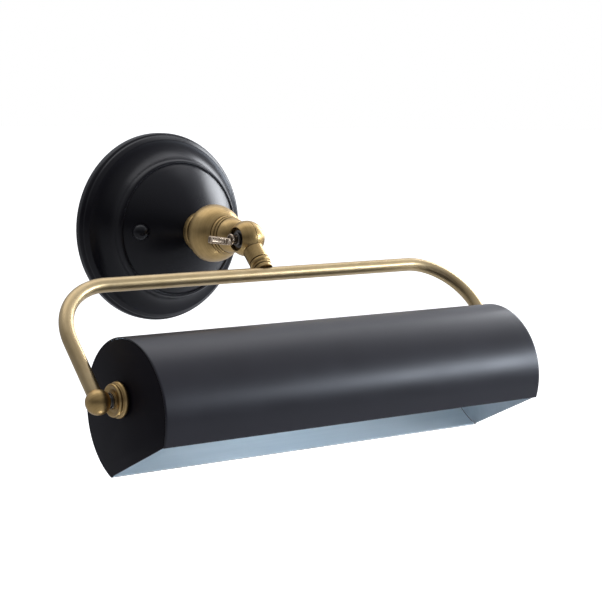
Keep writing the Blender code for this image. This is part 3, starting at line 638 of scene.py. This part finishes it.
def make_fasteners():
    tip = BALL_NUT_HEIGHT + 0.4 * MM
    for tag, side in (("left", -1), ("right", 1)):
        foot = towards(OUT, Vector((side * SCREW_SPREAD, 0.0, 0.0)))
        stud = [(0.0, tip), (STUD_RADIUS - 0.5 * MM, tip)]
        stud += threaded(STUD_RADIUS, GAP + 0.3 * MM, tip - 0.3 * MM, 0.8 * MM, 0.28 * MM)
        stud += [(STUD_RADIUS - 0.5 * MM, GAP), (0.0, GAP)]
        mesh = lathe("stud", stud, 32, THREAD_EASE)
        steel_piece(f"stud_{tag}", mesh, foot, "wall_plate", f"canopy_stud_{tag}")
        r = BALL_NUT_RADIUS
        bore = STUD_RADIUS + 0.1 * MM
        low = -math.sqrt(r * r - bore * bore)
        nut = [(0.0, r)] + arc((0.0, 0.0), r, 87.0, math.degrees(math.asin(low / r)), 30)
        nut += [(bore, low), (bore, 0.6 * MM), (0.0, 0.6 * MM)]
        at = towards(OUT, Vector((side * SCREW_SPREAD, -BALL_NUT_HEIGHT, 0.0)))
        mesh = lathe("nut_ball", nut, 64, 0.0)
        piece(f"nut_ball_{tag}", mesh, at, "wall_plate", plate_black, f"ball_nut_{tag}")
    face = 1.8 * MM + GAP
    top = face + 2.6 * MM
    head = [(0.0, top), (3.3 * MM, top), (3.5 * MM, face + 0.9 * MM)]
    head += [(4.4 * MM, face + 0.7 * MM), (4.4 * MM, face), (0.0, face)]
    at = towards(OUT, Vector((12.0 * MM, 0.0, 0.0)))
    slot = block("slot", (0.9 * MM, 8.0 * MM, 1.6 * MM), 0.0)
    cut = (slot, at @ Matrix.Translation((0, 0, top)), "DIFFERENCE")
    mesh = carved(lathe("ground", head, 48, 0.25 * MM), at, [cut])
    piece("ground_screw_head", mesh, at, "wall_plate", green, "ground_screw")


LEAD_STOPS = (
    (1.9, -75.0, 0.0), (1.9, -60.0, 0.0), (1.9, -50.0, 0.0), (1.9, -45.0, 0.0),
    (9.0, -37.0, -5.0), (22.0, -24.0, 2.0), (26.0, -17.0, 22.0),
)
LEAD_RADIUS = 1.1 * MM


def make_leads():
    for tag, side in (("left", -1), ("right", 1)):
        stops = [Vector((side * x * MM, y * MM, z * MM)) for x, y, z in LEAD_STOPS]
        lead = sweep("lead", smooth_route(stops, 10), LEAD_RADIUS, 20, Vector((0.3, 0.5, 0.8)))
        piece(f"lead_{tag}", lead, HERE, "wall_plate", insulation, f"supply_lead_{tag}")
        place = Matrix.Translation(stops[-1] + UP * 2.0 * MM)
        cone = mm(0.0, 15.0, 2.6, 15.0, 3.2, 14.4, 4.6, 4.0, 5.1, 3.6, 5.2, 0.0, 4.2, 0.0, 3.6, 6.0, 0.0, 6.0)
        shell = lathe("connector", cone, 72, 0.3 * MM)
        for vertex in shell.vertices:
            height = vertex.co.z
            if 4.2 * MM < height < 14.0 * MM and vertex.co.xy.length > 3.0 * MM:
                ridge = 0.5 + 0.5 * math.cos(12.0 * math.atan2(vertex.co.y, vertex.co.x))
                vertex.co.xy *= 1.0 - 0.07 * ridge
        piece(f"connector_{tag}", shell, place, "wall_plate", orange, f"wire_connector_{tag}")


# ---- Turned boss ----


def hexagon(name, radius, low, high, bore):
    """A hexagon nut with chamfered corners and a round bore."""
    nut = lathe(name, [(0.0, high), (radius, high), (radius, low), (0.0, low)], 6, 0.0, 20.0)
    past, corner, narrow, wide = 0.01 * MM, 0.7 * MM, radius * 0.88, radius * 1.02
    cone = [(0.0, high + past), (narrow, high + past), (wide, high - corner)]
    cone += [(wide, low + corner), (narrow, low - past), (0.0, low - past)]
    hole = rod("hole", bore, low - 1.0 * MM, high + 1.0 * MM, 48)
    changes = [(lathe("chamfer", cone, 64, 0.0), HERE, "INTERSECT"), (hole, HERE, "DIFFERENCE")]
    return carved(nut, HERE, changes, NUT_SHARP)


def turned_piece(name, profile, node_name, steps=144, ease=0.35 * MM):
    brass_piece(name, lathe(name, bored(profile, BOSS_BORE), steps, ease), BOSS, "wall_plate", node_name)


def make_boss():
    tube = [(NIPPLE_RADIUS - 0.4 * MM, 101.8 * MM)]
    tube += threaded(NIPPLE_RADIUS, 46.8 * MM, 101.6 * MM, 0.95 * MM, 0.35 * MM)
    tube += [(NIPPLE_RADIUS - 0.4 * MM, 46.5 * MM)]
    mesh = lathe("nipple", bored(tube, NIPPLE_BORE), 48, THREAD_EASE)
    brass_piece("nipple_thread", mesh, BOSS, "wall_plate", "nipple")
    under = DOME_SEAT_HEIGHT - CANOPY_WALL - GAP
    washer = bored([(8.6 * MM, under), (8.6 * MM, under - 1.2 * MM)], BOSS_BORE)
    mesh = lathe("toothed_washer", washer, 48, 0.2 * MM)
    steel_piece("toothed_washer", mesh, BOSS, "wall_plate", "lock_washer")
    top = under - 1.2 * MM - GAP
    nut = hexagon("locknut", 8.0 * MM, top - 3.4 * MM, top, BOSS_BORE)
    steel_piece("boss_locknut", nut, BOSS, "wall_plate", "nipple_locknut")

    r = SEATING_RING_RADIUS
    low = DOME_SEAT_HEIGHT + GAP
    ring = [(r - 0.8 * MM, 62.0 * MM), (r - 0.2 * MM, 61.7 * MM), (r, 61.0 * MM)]
    ring += [(r, low + 0.8 * MM), (r - 0.5 * MM, low)]
    turned_piece("seat_ring", ring, "seating_ring")

    start = math.degrees(math.asin((90.8 * MM - TURNED_BALL_HEIGHT) / TURNED_BALL_RADIUS))
    shape = arc((0.0, TURNED_BALL_HEIGHT), TURNED_BALL_RADIUS, start, -6.0, 26)
    shape += mm(20.2, 72.5, 19.6, 71.6, 17.9, 69.2, 13.9, 63.3, 12.9, 62.9, 12.9, 62.3)
    turned_piece("ball_body", shape, "turned_ball", steps=180, ease=0.7 * MM)

    r = CHECK_RING_RADIUS
    low = 91.1 * MM
    rings = mm(12.7, 97.0, 13.2, 96.5, 13.2, 95.4, 12.5, 94.9, 12.5, 94.4)
    rings += [(r - 0.3 * MM, 94.0 * MM), (r, 93.4 * MM), (r, 91.8 * MM), (r - 0.6 * MM, low)]
    turned_piece("grooved_ring", rings, "check_ring", ease=0.25 * MM)

    cup = arc((0.0, CUP_HEIGHT), CUP_RADIUS, 54.0, 0.0, 22)
    inner = [(BOSS_BORE, CUP_HEIGHT), (BOSS_BORE, NECK_FOOT_HEIGHT - GAP)]
    inner += [(NECK_RADIUS + GAP, NECK_FOOT_HEIGHT - GAP), (NECK_RADIUS + GAP, cup[0][1])]
    mesh = lathe("cup", cup + inner, 144, 0.25 * MM)
    seat = ball("seat", KNUCKLE_RADIUS + KNUCKLE_PLAY, 96)
    mesh = carved(mesh, BOSS, [(seat, Matrix.Translation(KNUCKLE), "DIFFERENCE")])
    brass_piece("cup_body", mesh, BOSS, "wall_plate", "swivel_cup")


# ---- Knuckle ----


def clearance(side, matrix):
    """The half ball that the other half turns in."""
    radius = KNUCKLE_RADIUS + KNUCKLE_PLAY
    profile = [(0.0, radius)] + arc((0.0, 0.0), radius, 88.0, 0.0, 20)
    profile += [(radius, -GAP / 2.0), (0.0, -GAP / 2.0)]
    return lathe("clearance", profile, 96, 0.0), matrix @ towards(side * RIGHT), "DIFFERENCE"


def make_fixed_half():
    hole, floor = COUNTERBORE
    start = math.degrees(math.acos(hole / KNUCKLE_RADIUS))
    profile = arc((0.0, 0.0), KNUCKLE_RADIUS, start, 1.5, 22)
    profile += [(KNUCKLE_RADIUS - 0.1 * MM, GAP / 2.0)]
    profile += [(SCREW_RADIUS + GAP, GAP / 2.0), (SCREW_RADIUS + GAP, floor), (hole, floor)]
    place = towards(-RIGHT, KNUCKLE)
    foot = towards(OUT, Vector((0.0, -NECK_FOOT_HEIGHT, 0.0)))
    reach = abs(KNUCKLE.y) - NECK_FOOT_HEIGHT
    neck = rod("neck", NECK_RADIUS, 0.0, reach - 9.4 * MM, 72)
    way = rod("way", WIRE_WAY, -1.0 * MM, reach - 6.0 * MM, 48)
    changes = [(neck, foot, "UNION"), clearance(1, Matrix.Translation(KNUCKLE)), (way, foot, "DIFFERENCE")]
    mesh = carved(lathe("fixed_half", profile, 128, 0.4 * MM), place, changes)
    brass_piece("fixed_half_body", mesh, place, "wall_plate", "knuckle_fixed_half")


def make_moving_half():
    place = towards(RIGHT, CENTRE, YOKE)
    bore = SCREW_RADIUS + GAP
    profile = [(0.0, KNUCKLE_RADIUS)] + arc((0.0, 0.0), KNUCKLE_RADIUS, 88.0, 1.5, 26)
    profile += [(KNUCKLE_RADIUS - 0.1 * MM, GAP / 2.0), (bore, GAP / 2.0), (bore, 8.0 * MM), (0.0, 8.0 * MM)]
    down = towards(-UP, CENTRE, YOKE)
    root = 9.5 * MM
    stem = [(0.0, STEM_END), (STEM_RADIUS, STEM_END), (STEM_RADIUS, root), (0.0, root)]
    stem = lathe("stem", stem, 96, 0.4 * MM)
    way = rod("way", WIRE_WAY, 6.0 * MM, STEM_END + 1.0 * MM, 48)
    changes = [(stem, down, "UNION"), clearance(-1, YOKE), (way, down, "DIFFERENCE")]
    mesh = carved(lathe("moving_half", profile, 128, 0.4 * MM), place, changes)
    brass_piece("moving_half_body", mesh, place, "yoke", "knuckle_moving_half")


def make_washers():
    place = towards(-RIGHT, KNUCKLE)
    low = COUNTERBORE[1] + GAP
    bore = SCREW_RADIUS + GAP
    flat = bored([(6.3 * MM, low + 1.2 * MM), (6.3 * MM, low)], bore)
    mesh = lathe("washer", flat, 72, 0.3 * MM)
    steel_piece("flat_washer_ring", mesh, place, "wall_plate", "flat_washer", dull_washer)
    low += 1.2 * MM + GAP
    turns, rings, coil = 1.9, 96, 3.6 * MM
    route = []
    for i in range(rings + 1):
        turn = 2 * math.pi * turns * i / rings
        height = low + 0.42 * MM + 1.66 * MM * i / rings
        route.append(Vector((coil * math.cos(turn), coil * math.sin(turn), height)))
    spring = sweep("spring", route, 0.40 * MM, 16, UP)
    for vertex in spring.vertices:
        away = vertex.co.xy.length - coil
        vertex.co.xy *= (coil + away * 2.2) / vertex.co.xy.length
    steel_piece("spring_washer_coil", spring, place, "wall_plate", "spring_washer", dull_washer)


THUMB_BLADE = (15.5 * MM, 2.4 * MM, 5.0 * MM)


def make_thumb_screw():
    place = towards(-RIGHT, KNUCKLE)
    face, r = COLLAR_FACE, COLLAR_RADIUS
    profile = [(0.0, face - 0.9 * MM), (2.4 * MM, face - 0.9 * MM), (2.8 * MM, face)]
    profile += [(r - 0.3 * MM, face), (r, face - 0.5 * MM), (r, 13.2 * MM)]
    profile += [(3.1 * MM, 12.9 * MM), (3.1 * MM, 10.8 * MM), (SCREW_RADIUS, 10.8 * MM)]
    profile += threaded(SCREW_RADIUS, -6.6 * MM, 10.4 * MM, 0.8 * MM, 0.3 * MM)
    profile += [(1.8 * MM, -SCREW_DEPTH), (0.0, -SCREW_DEPTH)]
    base = lathe("screw", profile, 64, 0.2 * MM)
    at = Matrix.Translation(KNUCKLE)
    hub_place = at @ Matrix.Translation((-face - 1.6 * MM, -0.6 * MM, -1.3 * MM))
    hub = block("hub", (5.0 * MM, 4.2 * MM, 4.8 * MM), 1.0 * MM, 5)
    length, thickness, width = THUMB_BLADE
    lean = Matrix.Rotation(math.radians(8.0), 4, "Y")
    blade_place = at @ Matrix.Translation((-face - 2.4 * MM - length / 2.0, -0.6 * MM, -0.2 * MM)) @ lean
    blade = block("blade", (length, thickness, width), 1.0 * MM, 5)
    changes = [(hub, hub_place, "UNION"), (blade, blade_place, "UNION")]
    for side in (-1, 1):
        hollow = block("hollow", (10.4 * MM, 1.6 * MM, 2.7 * MM), 0.5 * MM, 4)
        hollow_place = blade_place @ Matrix.Translation((0.0, side * 1.45 * MM, 0.0))
        changes.append((hollow, hollow_place, "DIFFERENCE"))
    mesh = carved(base, place, changes)
    brass_piece("thumb_screw_body", mesh, place, "thumb_screw", "thumb_screw", screw_brass)


# ---- Yoke ----


def make_stem_fittings():
    down = towards(-UP, CENTRE, YOKE)
    low, high, r = STEM_COLLAR
    collar = [(r - 1.2 * MM, high), (r - 0.6 * MM, high - 0.4 * MM), (r - 0.5 * MM, high - 1.2 * MM)]
    collar += [(r - 1.0 * MM, high - 1.8 * MM), (r - 0.3 * MM, high - 2.3 * MM), (r, high - 3.0 * MM)]
    collar += [(r, low + 1.1 * MM), (r - 0.3 * MM, low + 0.4 * MM), (r - 0.9 * MM, low)]
    mesh = lathe("collar", bored(collar, WIRE_WAY), 96, 0.4 * MM)
    brass_piece("collar_body", mesh, down, "yoke", "stem_collar")
    spigot = bored([(SADDLE_RADIUS, SADDLE_FOOT), (SADDLE_RADIUS, high + GAP)], WIRE_WAY)
    run = rod("run", TUBE_RADIUS + 0.15 * MM, -10.0 * MM, 10.0 * MM, 72)
    cut = (run, towards(RIGHT, Vector((0.0, 0.0, -RUN_DROP)), YOKE), "DIFFERENCE")
    mesh = carved(lathe("spigot", spigot, 96, 0.3 * MM), down, [cut])
    brass_piece("saddle_body", mesh, down, "yoke", "tube_saddle")


def make_tube():
    end = PIVOT_DROP - 4.4 * MM
    corner = (ARM_SPREAD - BEND_RADIUS, -RUN_DROP - BEND_RADIUS)
    run = [Vector((x * corner[0] / 12.0, 0.0, -RUN_DROP)) for x in range(12)]
    bend = [Vector((x, 0.0, z)) for x, z in arc(corner, BEND_RADIUS, 90.0, 0.0, 28)]
    arm = [Vector((ARM_SPREAD, 0.0, corner[1] + (-end - corner[1]) * i / 6.0)) for i in range(1, 7)]
    right = run + bend + arm
    left = [Vector((-p.x, p.y, p.z)) for p in reversed(right[1:])]
    mesh = sweep("tube", left + right, TUBE_RADIUS, 56, bore=TUBE_RADIUS - TUBE_WALL)
    brass_piece("tube_body", mesh, YOKE, "yoke", "yoke_tube", tube_brass_lit)


def make_ball_end(tag, side):
    at = Vector((side * ARM_SPREAD, 0.0, -PIVOT_DROP))
    place = towards(UP, at, YOKE)
    r = BALL_END_RADIUS
    shape = [(0.0, r)] + arc((0.0, 0.0), r, 87.0, -87.0, 48) + [(0.0, -r)]
    socket = rod("socket", TUBE_RADIUS + 0.12 * MM, 4.1 * MM, 12.0 * MM, 72)
    bore = rod("bore", PIVOT_NIPPLE_RADIUS + GAP, -5.0 * MM, 12.0 * MM, 48)
    cuts = [(socket, place, "DIFFERENCE"), (bore, towards(-side * RIGHT, at, YOKE), "DIFFERENCE")]
    mesh = carved(lathe("ball_end", shape, 112, 0.25 * MM), place, cuts)
    brass_piece(f"ball_body_{tag}", mesh, place, "yoke", f"ball_end_{tag}")
    ring = bored([(4.9 * MM, 8.6 * MM), (4.9 * MM, 8.0 * MM)], PIVOT_NIPPLE_RADIUS + GAP)
    at = towards(side * RIGHT, Vector((side * SHADE_HALF_LENGTH, 0.0, -PIVOT_DROP)), YOKE)
    mesh = lathe("ring", ring, 64, 0.15 * MM)
    steel_piece(f"pivot_washer_{tag}", mesh, at, "yoke", f"friction_washer_{tag}", dull_washer)


# ---- Shade ----


# The shade's section runs from one lip, over the top, to the other.
OPENING_HALF_ANGLE = math.degrees(math.asin(OPENING_HALF_CHORD / SHADE_RADIUS))
SECTION_START, SECTION_END = 270.0 - OPENING_HALF_ANGLE, -90.0 + OPENING_HALF_ANGLE


def make_shell():
    """Rolled shell with rounded ends and lips. The inside takes the second material."""
    count, lengths = 150, 40
    ease = 0.35 * MM
    points, faces, inside = [], [], []
    steps = [0.0, 0.3 * ease, ease, CAP_THICKNESS + GAP]
    stations = [step - SHADE_HALF_LENGTH for step in steps]
    stations += [-SHADE_HALF_LENGTH + 2.0 * SHADE_HALF_LENGTH * i / lengths for i in range(1, lengths)]
    stations += [-x for x in reversed(stations[:4])]
    start, end = SECTION_START, SECTION_END
    tip = math.degrees(ease / SHADE_RADIUS)
    angles = [start, start - 0.3 * tip, start - tip]
    angles += [start + (end - start) * i / count for i in range(1, count)]
    angles += [end + tip, end + 0.3 * tip, end]
    rows, columns = len(stations), len(angles)

    def inset(index, total):
        """How far the skin draws in at an edge, so that the edge is round."""
        near = min(index, total - 1 - index)
        return {0: ease, 1: 0.35 * ease}.get(near, 0.0)

    for skin in (0, 1):
        for i, x in enumerate(stations):
            for j, angle in enumerate(angles):
                draw = min(ease, math.hypot(inset(i, rows), inset(j, columns)))
                radius = SHADE_RADIUS - draw if skin == 0 else SHADE_RADIUS - SHADE_WALL + draw
                a = math.radians(angle)
                points.append((x, radius * math.cos(a), -SHADE_DROP + radius * math.sin(a)))
    for skin in (0, 1):
        first = skin * rows * columns
        for i in range(rows - 1):
            for j in range(columns - 1):
                a = first + i * columns + j
                faces.append([a, a + 1, a + columns + 1, a + columns])
                inside.append(skin if 2 < i < rows - 4 else 0)
    other = rows * columns
    border = [(i, 0) for i in range(rows)] + [(rows - 1, j) for j in range(1, columns)]
    border += [(i, columns - 1) for i in range(rows - 2, -1, -1)]
    border += [(0, j) for j in range(columns - 2, 0, -1)]
    for (i, j), (k, m) in zip(border, border[1:] + border[:1]):
        a, b = i * columns + j, k * columns + m
        faces.append([a, b, other + b, other + a])
        inside.append(0)
    mesh = bpy.data.meshes.new("shell")
    mesh.from_pydata(points, [], faces)
    mesh.polygons.foreach_set("material_index", inside)
    face_outward(mesh)
    finish_mesh(mesh, SHEET_SHARP)
    skins = [shade_black, inside_pale]
    shell = piece("shell_body", mesh, SHADE, "shade", skins, "shade_shell")
    shell.data.polygons.foreach_set("material_index", inside)


def make_cap(tag, side):
    """D-shaped plate with a rounded rim, let into the shell's end. Its inner face takes a darker copy of the
    pale inside metal, painted shade.
    """
    inside = SHADE_RADIUS - SHADE_WALL - GAP
    outline = arc((0.0, -SHADE_DROP), inside, SECTION_START, SECTION_END, 150)
    middle = Vector((0.0, -SHADE_DROP))
    steps = [(0.0, 0.30 * MM), (0.10 * MM, 0.10 * MM), (0.30 * MM, 0.0)]
    steps += [(CAP_THICKNESS - 0.1 * MM, 0.0), (CAP_THICKNESS, 0.1 * MM)]
    points, faces = [], []
    for depth, draw in steps:
        for y, z in outline:
            away = Vector((y, z)) - middle
            away *= 1.0 - draw / away.length
            points.append((side * (SHADE_HALF_LENGTH - depth), *(middle + away)))
    count = len(outline)
    for layer in range(len(steps) - 1):
        for k in range(count):
            n = (k + 1) % count
            a = layer * count
            faces.append([a + k, a + n, a + count + n, a + count + k])
    faces.append(list(range(count)))
    faces.append([(len(steps) - 1) * count + k for k in range(count)])
    mesh = mesh_from("cap", points, faces, SHEET_SHARP)
    hole = rod("hole", PIVOT_NIPPLE_RADIUS + GAP, -5.0 * MM, 5.0 * MM, 48)
    cut = (hole, towards(RIGHT, Vector((side * SHADE_HALF_LENGTH, 0.0, 0.0)), SHADE), "DIFFERENCE")
    mesh = carved(mesh, SHADE, [cut])
    inner = [int(face.normal.x * side < -0.9) for face in mesh.polygons]
    skins = [cap_black, inside_cap_shaded]
    cap = piece(f"cap_plate_{tag}", mesh, SHADE, "shade", skins, f"end_cap_{tag}")
    cap.data.polygons.foreach_set("material_index", inner)


def make_pivot(tag, side):
    place = towards(side * RIGHT, side * SHADE_HALF_LENGTH * RIGHT, SHADE)
    bore = PIVOT_NIPPLE_RADIUS + GAP
    rosette = mm(5.2, 7.7, 5.4, 6.6, 7.2, 6.2, 8.8, 6.8, 9.5, 7.4, 10.1, 7.1, 10.5, 6.3, 10.4, 5.5)
    rosette += mm(9.9, 4.9, 10.2, 4.4, 11.1, 3.8, 11.5, 3.0, 11.5, 2.3, 11.0, 1.2) + [(10.2 * MM, GAP)]
    mesh = lathe("rosette", bored(rosette, bore), 112, 0.3 * MM)
    brass_piece(f"rosette_body_{tag}", mesh, place, "shade", f"rosette_{tag}")
    length = ARM_SPREAD - SHADE_HALF_LENGTH + 3.0 * MM
    tube = [(PIVOT_NIPPLE_RADIUS - 0.4 * MM, length)]
    tube += threaded(PIVOT_NIPPLE_RADIUS, -11.8 * MM, length - 0.2 * MM, 0.95 * MM, 0.3 * MM)
    tube += [(PIVOT_NIPPLE_RADIUS - 0.4 * MM, -12.0 * MM)]
    mesh = lathe("pivot_tube", bored(tube, PIVOT_NIPPLE_BORE), 48, THREAD_EASE)
    steel_piece(f"pivot_tube_{tag}", mesh, place, "shade", f"pivot_nipple_{tag}")
    under = -CAP_THICKNESS - GAP
    nut = hexagon("pivot_nut", 7.0 * MM, under - 3.0 * MM, under, bore)
    steel_piece(f"pivot_nut_{tag}", nut, place, "shade", f"pivot_locknut_{tag}")


LAMP_HOLDER_RADIUS = 10.0 * MM
LAMP_HOLDER_LENGTH = 30.0 * MM
LAMP_BASE_RADIUS = 6.3 * MM
LAMP_LENGTH = 80.0 * MM
LAMP_RADIUS = 12.5 * MM
LAMP_WALL = 0.8 * MM


def make_lamp(tag, side):
    place = towards(-side * RIGHT, side * SHADE_HALF_LENGTH * RIGHT, SHADE)
    low = CAP_THICKNESS + 3.0 * MM + 2.0 * GAP
    r = LAMP_HOLDER_RADIUS
    end = low + LAMP_HOLDER_LENGTH
    holder = [(r - 0.6 * MM, end), (r, end - 0.6 * MM), (r, low + 9.0 * MM)]
    holder += [(r - 1.5 * MM, low + 7.5 * MM), (r - 1.5 * MM, low + 1.0 * MM), (r - 2.5 * MM, low)]
    bore = PIVOT_NIPPLE_RADIUS + GAP
    floor, base_low = low + 8.5 * MM, low + 12.0 * MM
    seat, mouth = base_low - GAP, LAMP_BASE_RADIUS + GAP
    holder += [(bore, low), (bore, floor), (3.0 * MM, floor), (3.0 * MM, seat), (mouth, seat), (mouth, end)]
    mesh = lathe("holder", holder, 96, 0.5 * MM)
    piece(f"holder_{tag}", mesh, place, "shade", porcelain, f"lamp_holder_{tag}")
    glass_low = end + 1.0 * MM
    top = glass_low - GAP
    base = [(0.0, top), (5.9 * MM, top)]
    base += threaded(LAMP_BASE_RADIUS, base_low + 4.0 * MM, top - 0.5 * MM, 2.4 * MM, 0.5 * MM)
    base += [(5.6 * MM, base_low + 3.4 * MM), (2.5 * MM, base_low + 0.6 * MM)]
    base += [(2.2 * MM, base_low), (0.0, base_low)]
    mesh = lathe("lamp_cap", base, 72, 0.4 * MM)
    steel_piece(f"lamp_cap_{tag}", mesh, place, "shade", f"lamp_base_{tag}")
    tip = glass_low + LAMP_LENGTH
    radius = LAMP_RADIUS
    glass = [(0.0, tip)]
    for a in range(6, 91, 6):
        turn = math.radians(a)
        glass.append((radius * math.sin(turn), tip - radius * (1.0 - math.cos(turn))))
    glass += [(radius, glass_low + 9.0 * MM), (radius * 0.97, glass_low + 7.0 * MM)]
    glass += [(radius * 0.85, glass_low + 4.0 * MM), (radius * 0.66, glass_low + 1.6 * MM)]
    inner = radius - LAMP_WALL
    glass += [(7.0 * MM, glass_low), (6.0 * MM, glass_low), (inner * 0.85, glass_low + 4.6 * MM)]
    glass += [(inner, glass_low + 9.0 * MM), (inner, tip - radius)]
    for a in range(80, 5, -10):
        turn = math.radians(a)
        glass.append((inner * math.sin(turn), tip - radius + inner * math.cos(turn)))
    glass += [(0.0, tip - LAMP_WALL)]
    mesh = lathe("lamp_tube", glass, 96, 0.3 * MM)
    piece(f"lamp_tube_{tag}", mesh, place, "shade", opal, f"lamp_glass_{tag}")


make_canopy()
make_fasteners()
make_leads()
make_boss()
make_fixed_half()
make_moving_half()
make_washers()
make_thumb_screw()
make_stem_fittings()
make_tube()
make_shell()
for tag, side in (("left", -1), ("right", 1)):
    make_ball_end(tag, side)
    make_cap(tag, side)
    make_pivot(tag, side)
    make_lamp(tag, side)

for name, material in (("crossbar", flat_zinc), ("yoke_harness", harness_insulation)):
    carried_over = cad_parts[name].data.materials
    carried_over.clear()
    carried_over.append(material)


# ---- Stage, light and camera ----


FLOOR_HEIGHT = -0.42
FLOOR_HALF_SIDE = 60.0
CAMERA_AT = (-0.6724, -1.0723, 0.0947)
CAMERA_TURNS = (36.98, -6.79, 0.44)  # yaw, pitch and roll in degrees
SENSOR_WIDTH = 36.0
LENS = 100.824


def make_stage():
    form = bmesh.new()
    bmesh.ops.create_grid(form, x_segments=8, y_segments=8, size=FLOOR_HALF_SIDE)
    mesh = bpy.data.meshes.new("floor")
    form.to_mesh(mesh)
    form.free()
    floor = bpy.data.objects.new("floor", mesh)
    floor.location = (0.0, 0.0, FLOOR_HEIGHT)
    bpy.context.scene.collection.objects.link(floor)
    made, tree, shader = shader_of("floor")
    tone = noise(tree, object_point(tree), 2.0)
    pale = blend_colour(tree, tone, (0.55, 0.55, 0.56), (0.58, 0.58, 0.58))
    tree.links.new(pale, shader.inputs["Base Color"])
    shader.inputs["Roughness"].default_value = 0.9
    shader.inputs["Emission Color"].default_value = (1.0, 1.0, 1.0, 1.0)
    seen = node(tree, "ShaderNodeLightPath").outputs["Is Camera Ray"]
    tree.links.new(seen, shader.inputs["Emission Strength"])
    mesh.materials.append(made)


def make_world():
    """White to the eye. Reflections see it bright above, right and behind, and dark in front and left."""
    world = bpy.data.worlds.new("studio")
    world.use_nodes = True
    bpy.context.scene.world = world
    tree = world.node_tree
    tree.nodes.clear()
    direction = node(tree, "ShaderNodeTexCoord").outputs["Generated"]
    parts = node(tree, "ShaderNodeSeparateXYZ")
    tree.links.new(direction, parts.inputs[0])
    back = spread(tree, parts.outputs[1], 0.0, 1.0, 0.0, 0.35)
    right = spread(tree, parts.outputs[0], 0.35, 0.95, 0.0, 0.85)
    above = spread(tree, parts.outputs[2], 0.15, 1.0, 0.0, 0.5)
    bright = maths(tree, "MINIMUM", maths(tree, "ADD", maths(tree, "ADD", back, right), above), 1.0)
    share = blend_colour(tree, bright, (0.05, 0.05, 0.055), (0.90, 0.93, 1.0))
    seen = node(tree, "ShaderNodeBackground")
    seen.inputs["Color"].default_value = (1.0, 1.0, 1.0, 1.0)
    seen.inputs["Strength"].default_value = 1.0
    lit = node(tree, "ShaderNodeBackground")
    tree.links.new(share, lit.inputs["Color"])
    lit.inputs["Strength"].default_value = 1.0
    path = node(tree, "ShaderNodeLightPath")
    mix = node(tree, "ShaderNodeMixShader")
    tree.links.new(path.outputs["Is Camera Ray"], mix.inputs[0])
    tree.links.new(lit.outputs[0], mix.inputs[1])
    tree.links.new(seen.outputs[0], mix.inputs[2])
    out = node(tree, "ShaderNodeOutputWorld")
    tree.links.new(mix.outputs[0], out.inputs["Surface"])


def area_light(name, at, aim, size, power, colour=(1.0, 1.0, 1.0), spread_deg=180.0):
    data = bpy.data.lights.new(name, "AREA")
    data.shape = "RECTANGLE"
    data.size, data.size_y = size
    data.energy = power
    data.color = colour
    data.spread = math.radians(spread_deg)
    lamp = bpy.data.objects.new(name, data)
    lamp.location = at
    lamp.rotation_euler = (Vector(aim) - Vector(at)).to_track_quat("-Z", "Y").to_euler()
    bpy.context.scene.collection.objects.link(lamp)


def make_lights():
    area_light("top", (0.2, 0.45, 1.4), (0.0, -0.15, -0.05), (2.0, 1.1), 6.2, (0.97, 0.97, 1.0))
    area_light("right", (1.5, 0.25, 0.5), (0.0, -0.1, 0.0), (0.7, 0.9), 12.0, (0.92, 0.95, 1.0))
    area_light("front", (1.32, -1.1, 0.27), (0.0, -0.2, -0.08), (0.9, 0.28), 14.0, (0.80, 0.88, 1.0))
    area_light("below", (0.0, -0.24, -0.36), (0.0, -0.205, -0.09), (0.26, 0.06), 0.07, (0.93, 0.96, 1.0),
               32.0)


def make_camera():
    """Long lens a little above the light's left front."""
    yaw, pitch, roll = map(math.radians, CAMERA_TURNS)
    ahead = Vector((math.sin(yaw) * math.cos(pitch), math.cos(yaw) * math.cos(pitch), math.sin(pitch)))
    level = ahead.cross(UP).normalized()
    above = level.cross(ahead)
    across = level * math.cos(roll) + above * math.sin(roll)
    upward = above * math.cos(roll) - level * math.sin(roll)
    data = bpy.data.cameras.new("camera")
    data.sensor_width = SENSOR_WIDTH
    data.lens = LENS
    data.clip_start, data.clip_end = 0.05, 30.0
    camera = bpy.data.objects.new("camera", data)
    turn = Matrix((across, upward, -ahead)).transposed().to_4x4()
    camera.matrix_world = Matrix.Translation(CAMERA_AT) @ turn
    bpy.context.scene.collection.objects.link(camera)
    bpy.context.scene.camera = camera


make_stage()
make_world()
make_lights()
make_camera()
bpy.context.scene.view_settings.view_transform = "Standard"

bpy.context.view_layer.update()
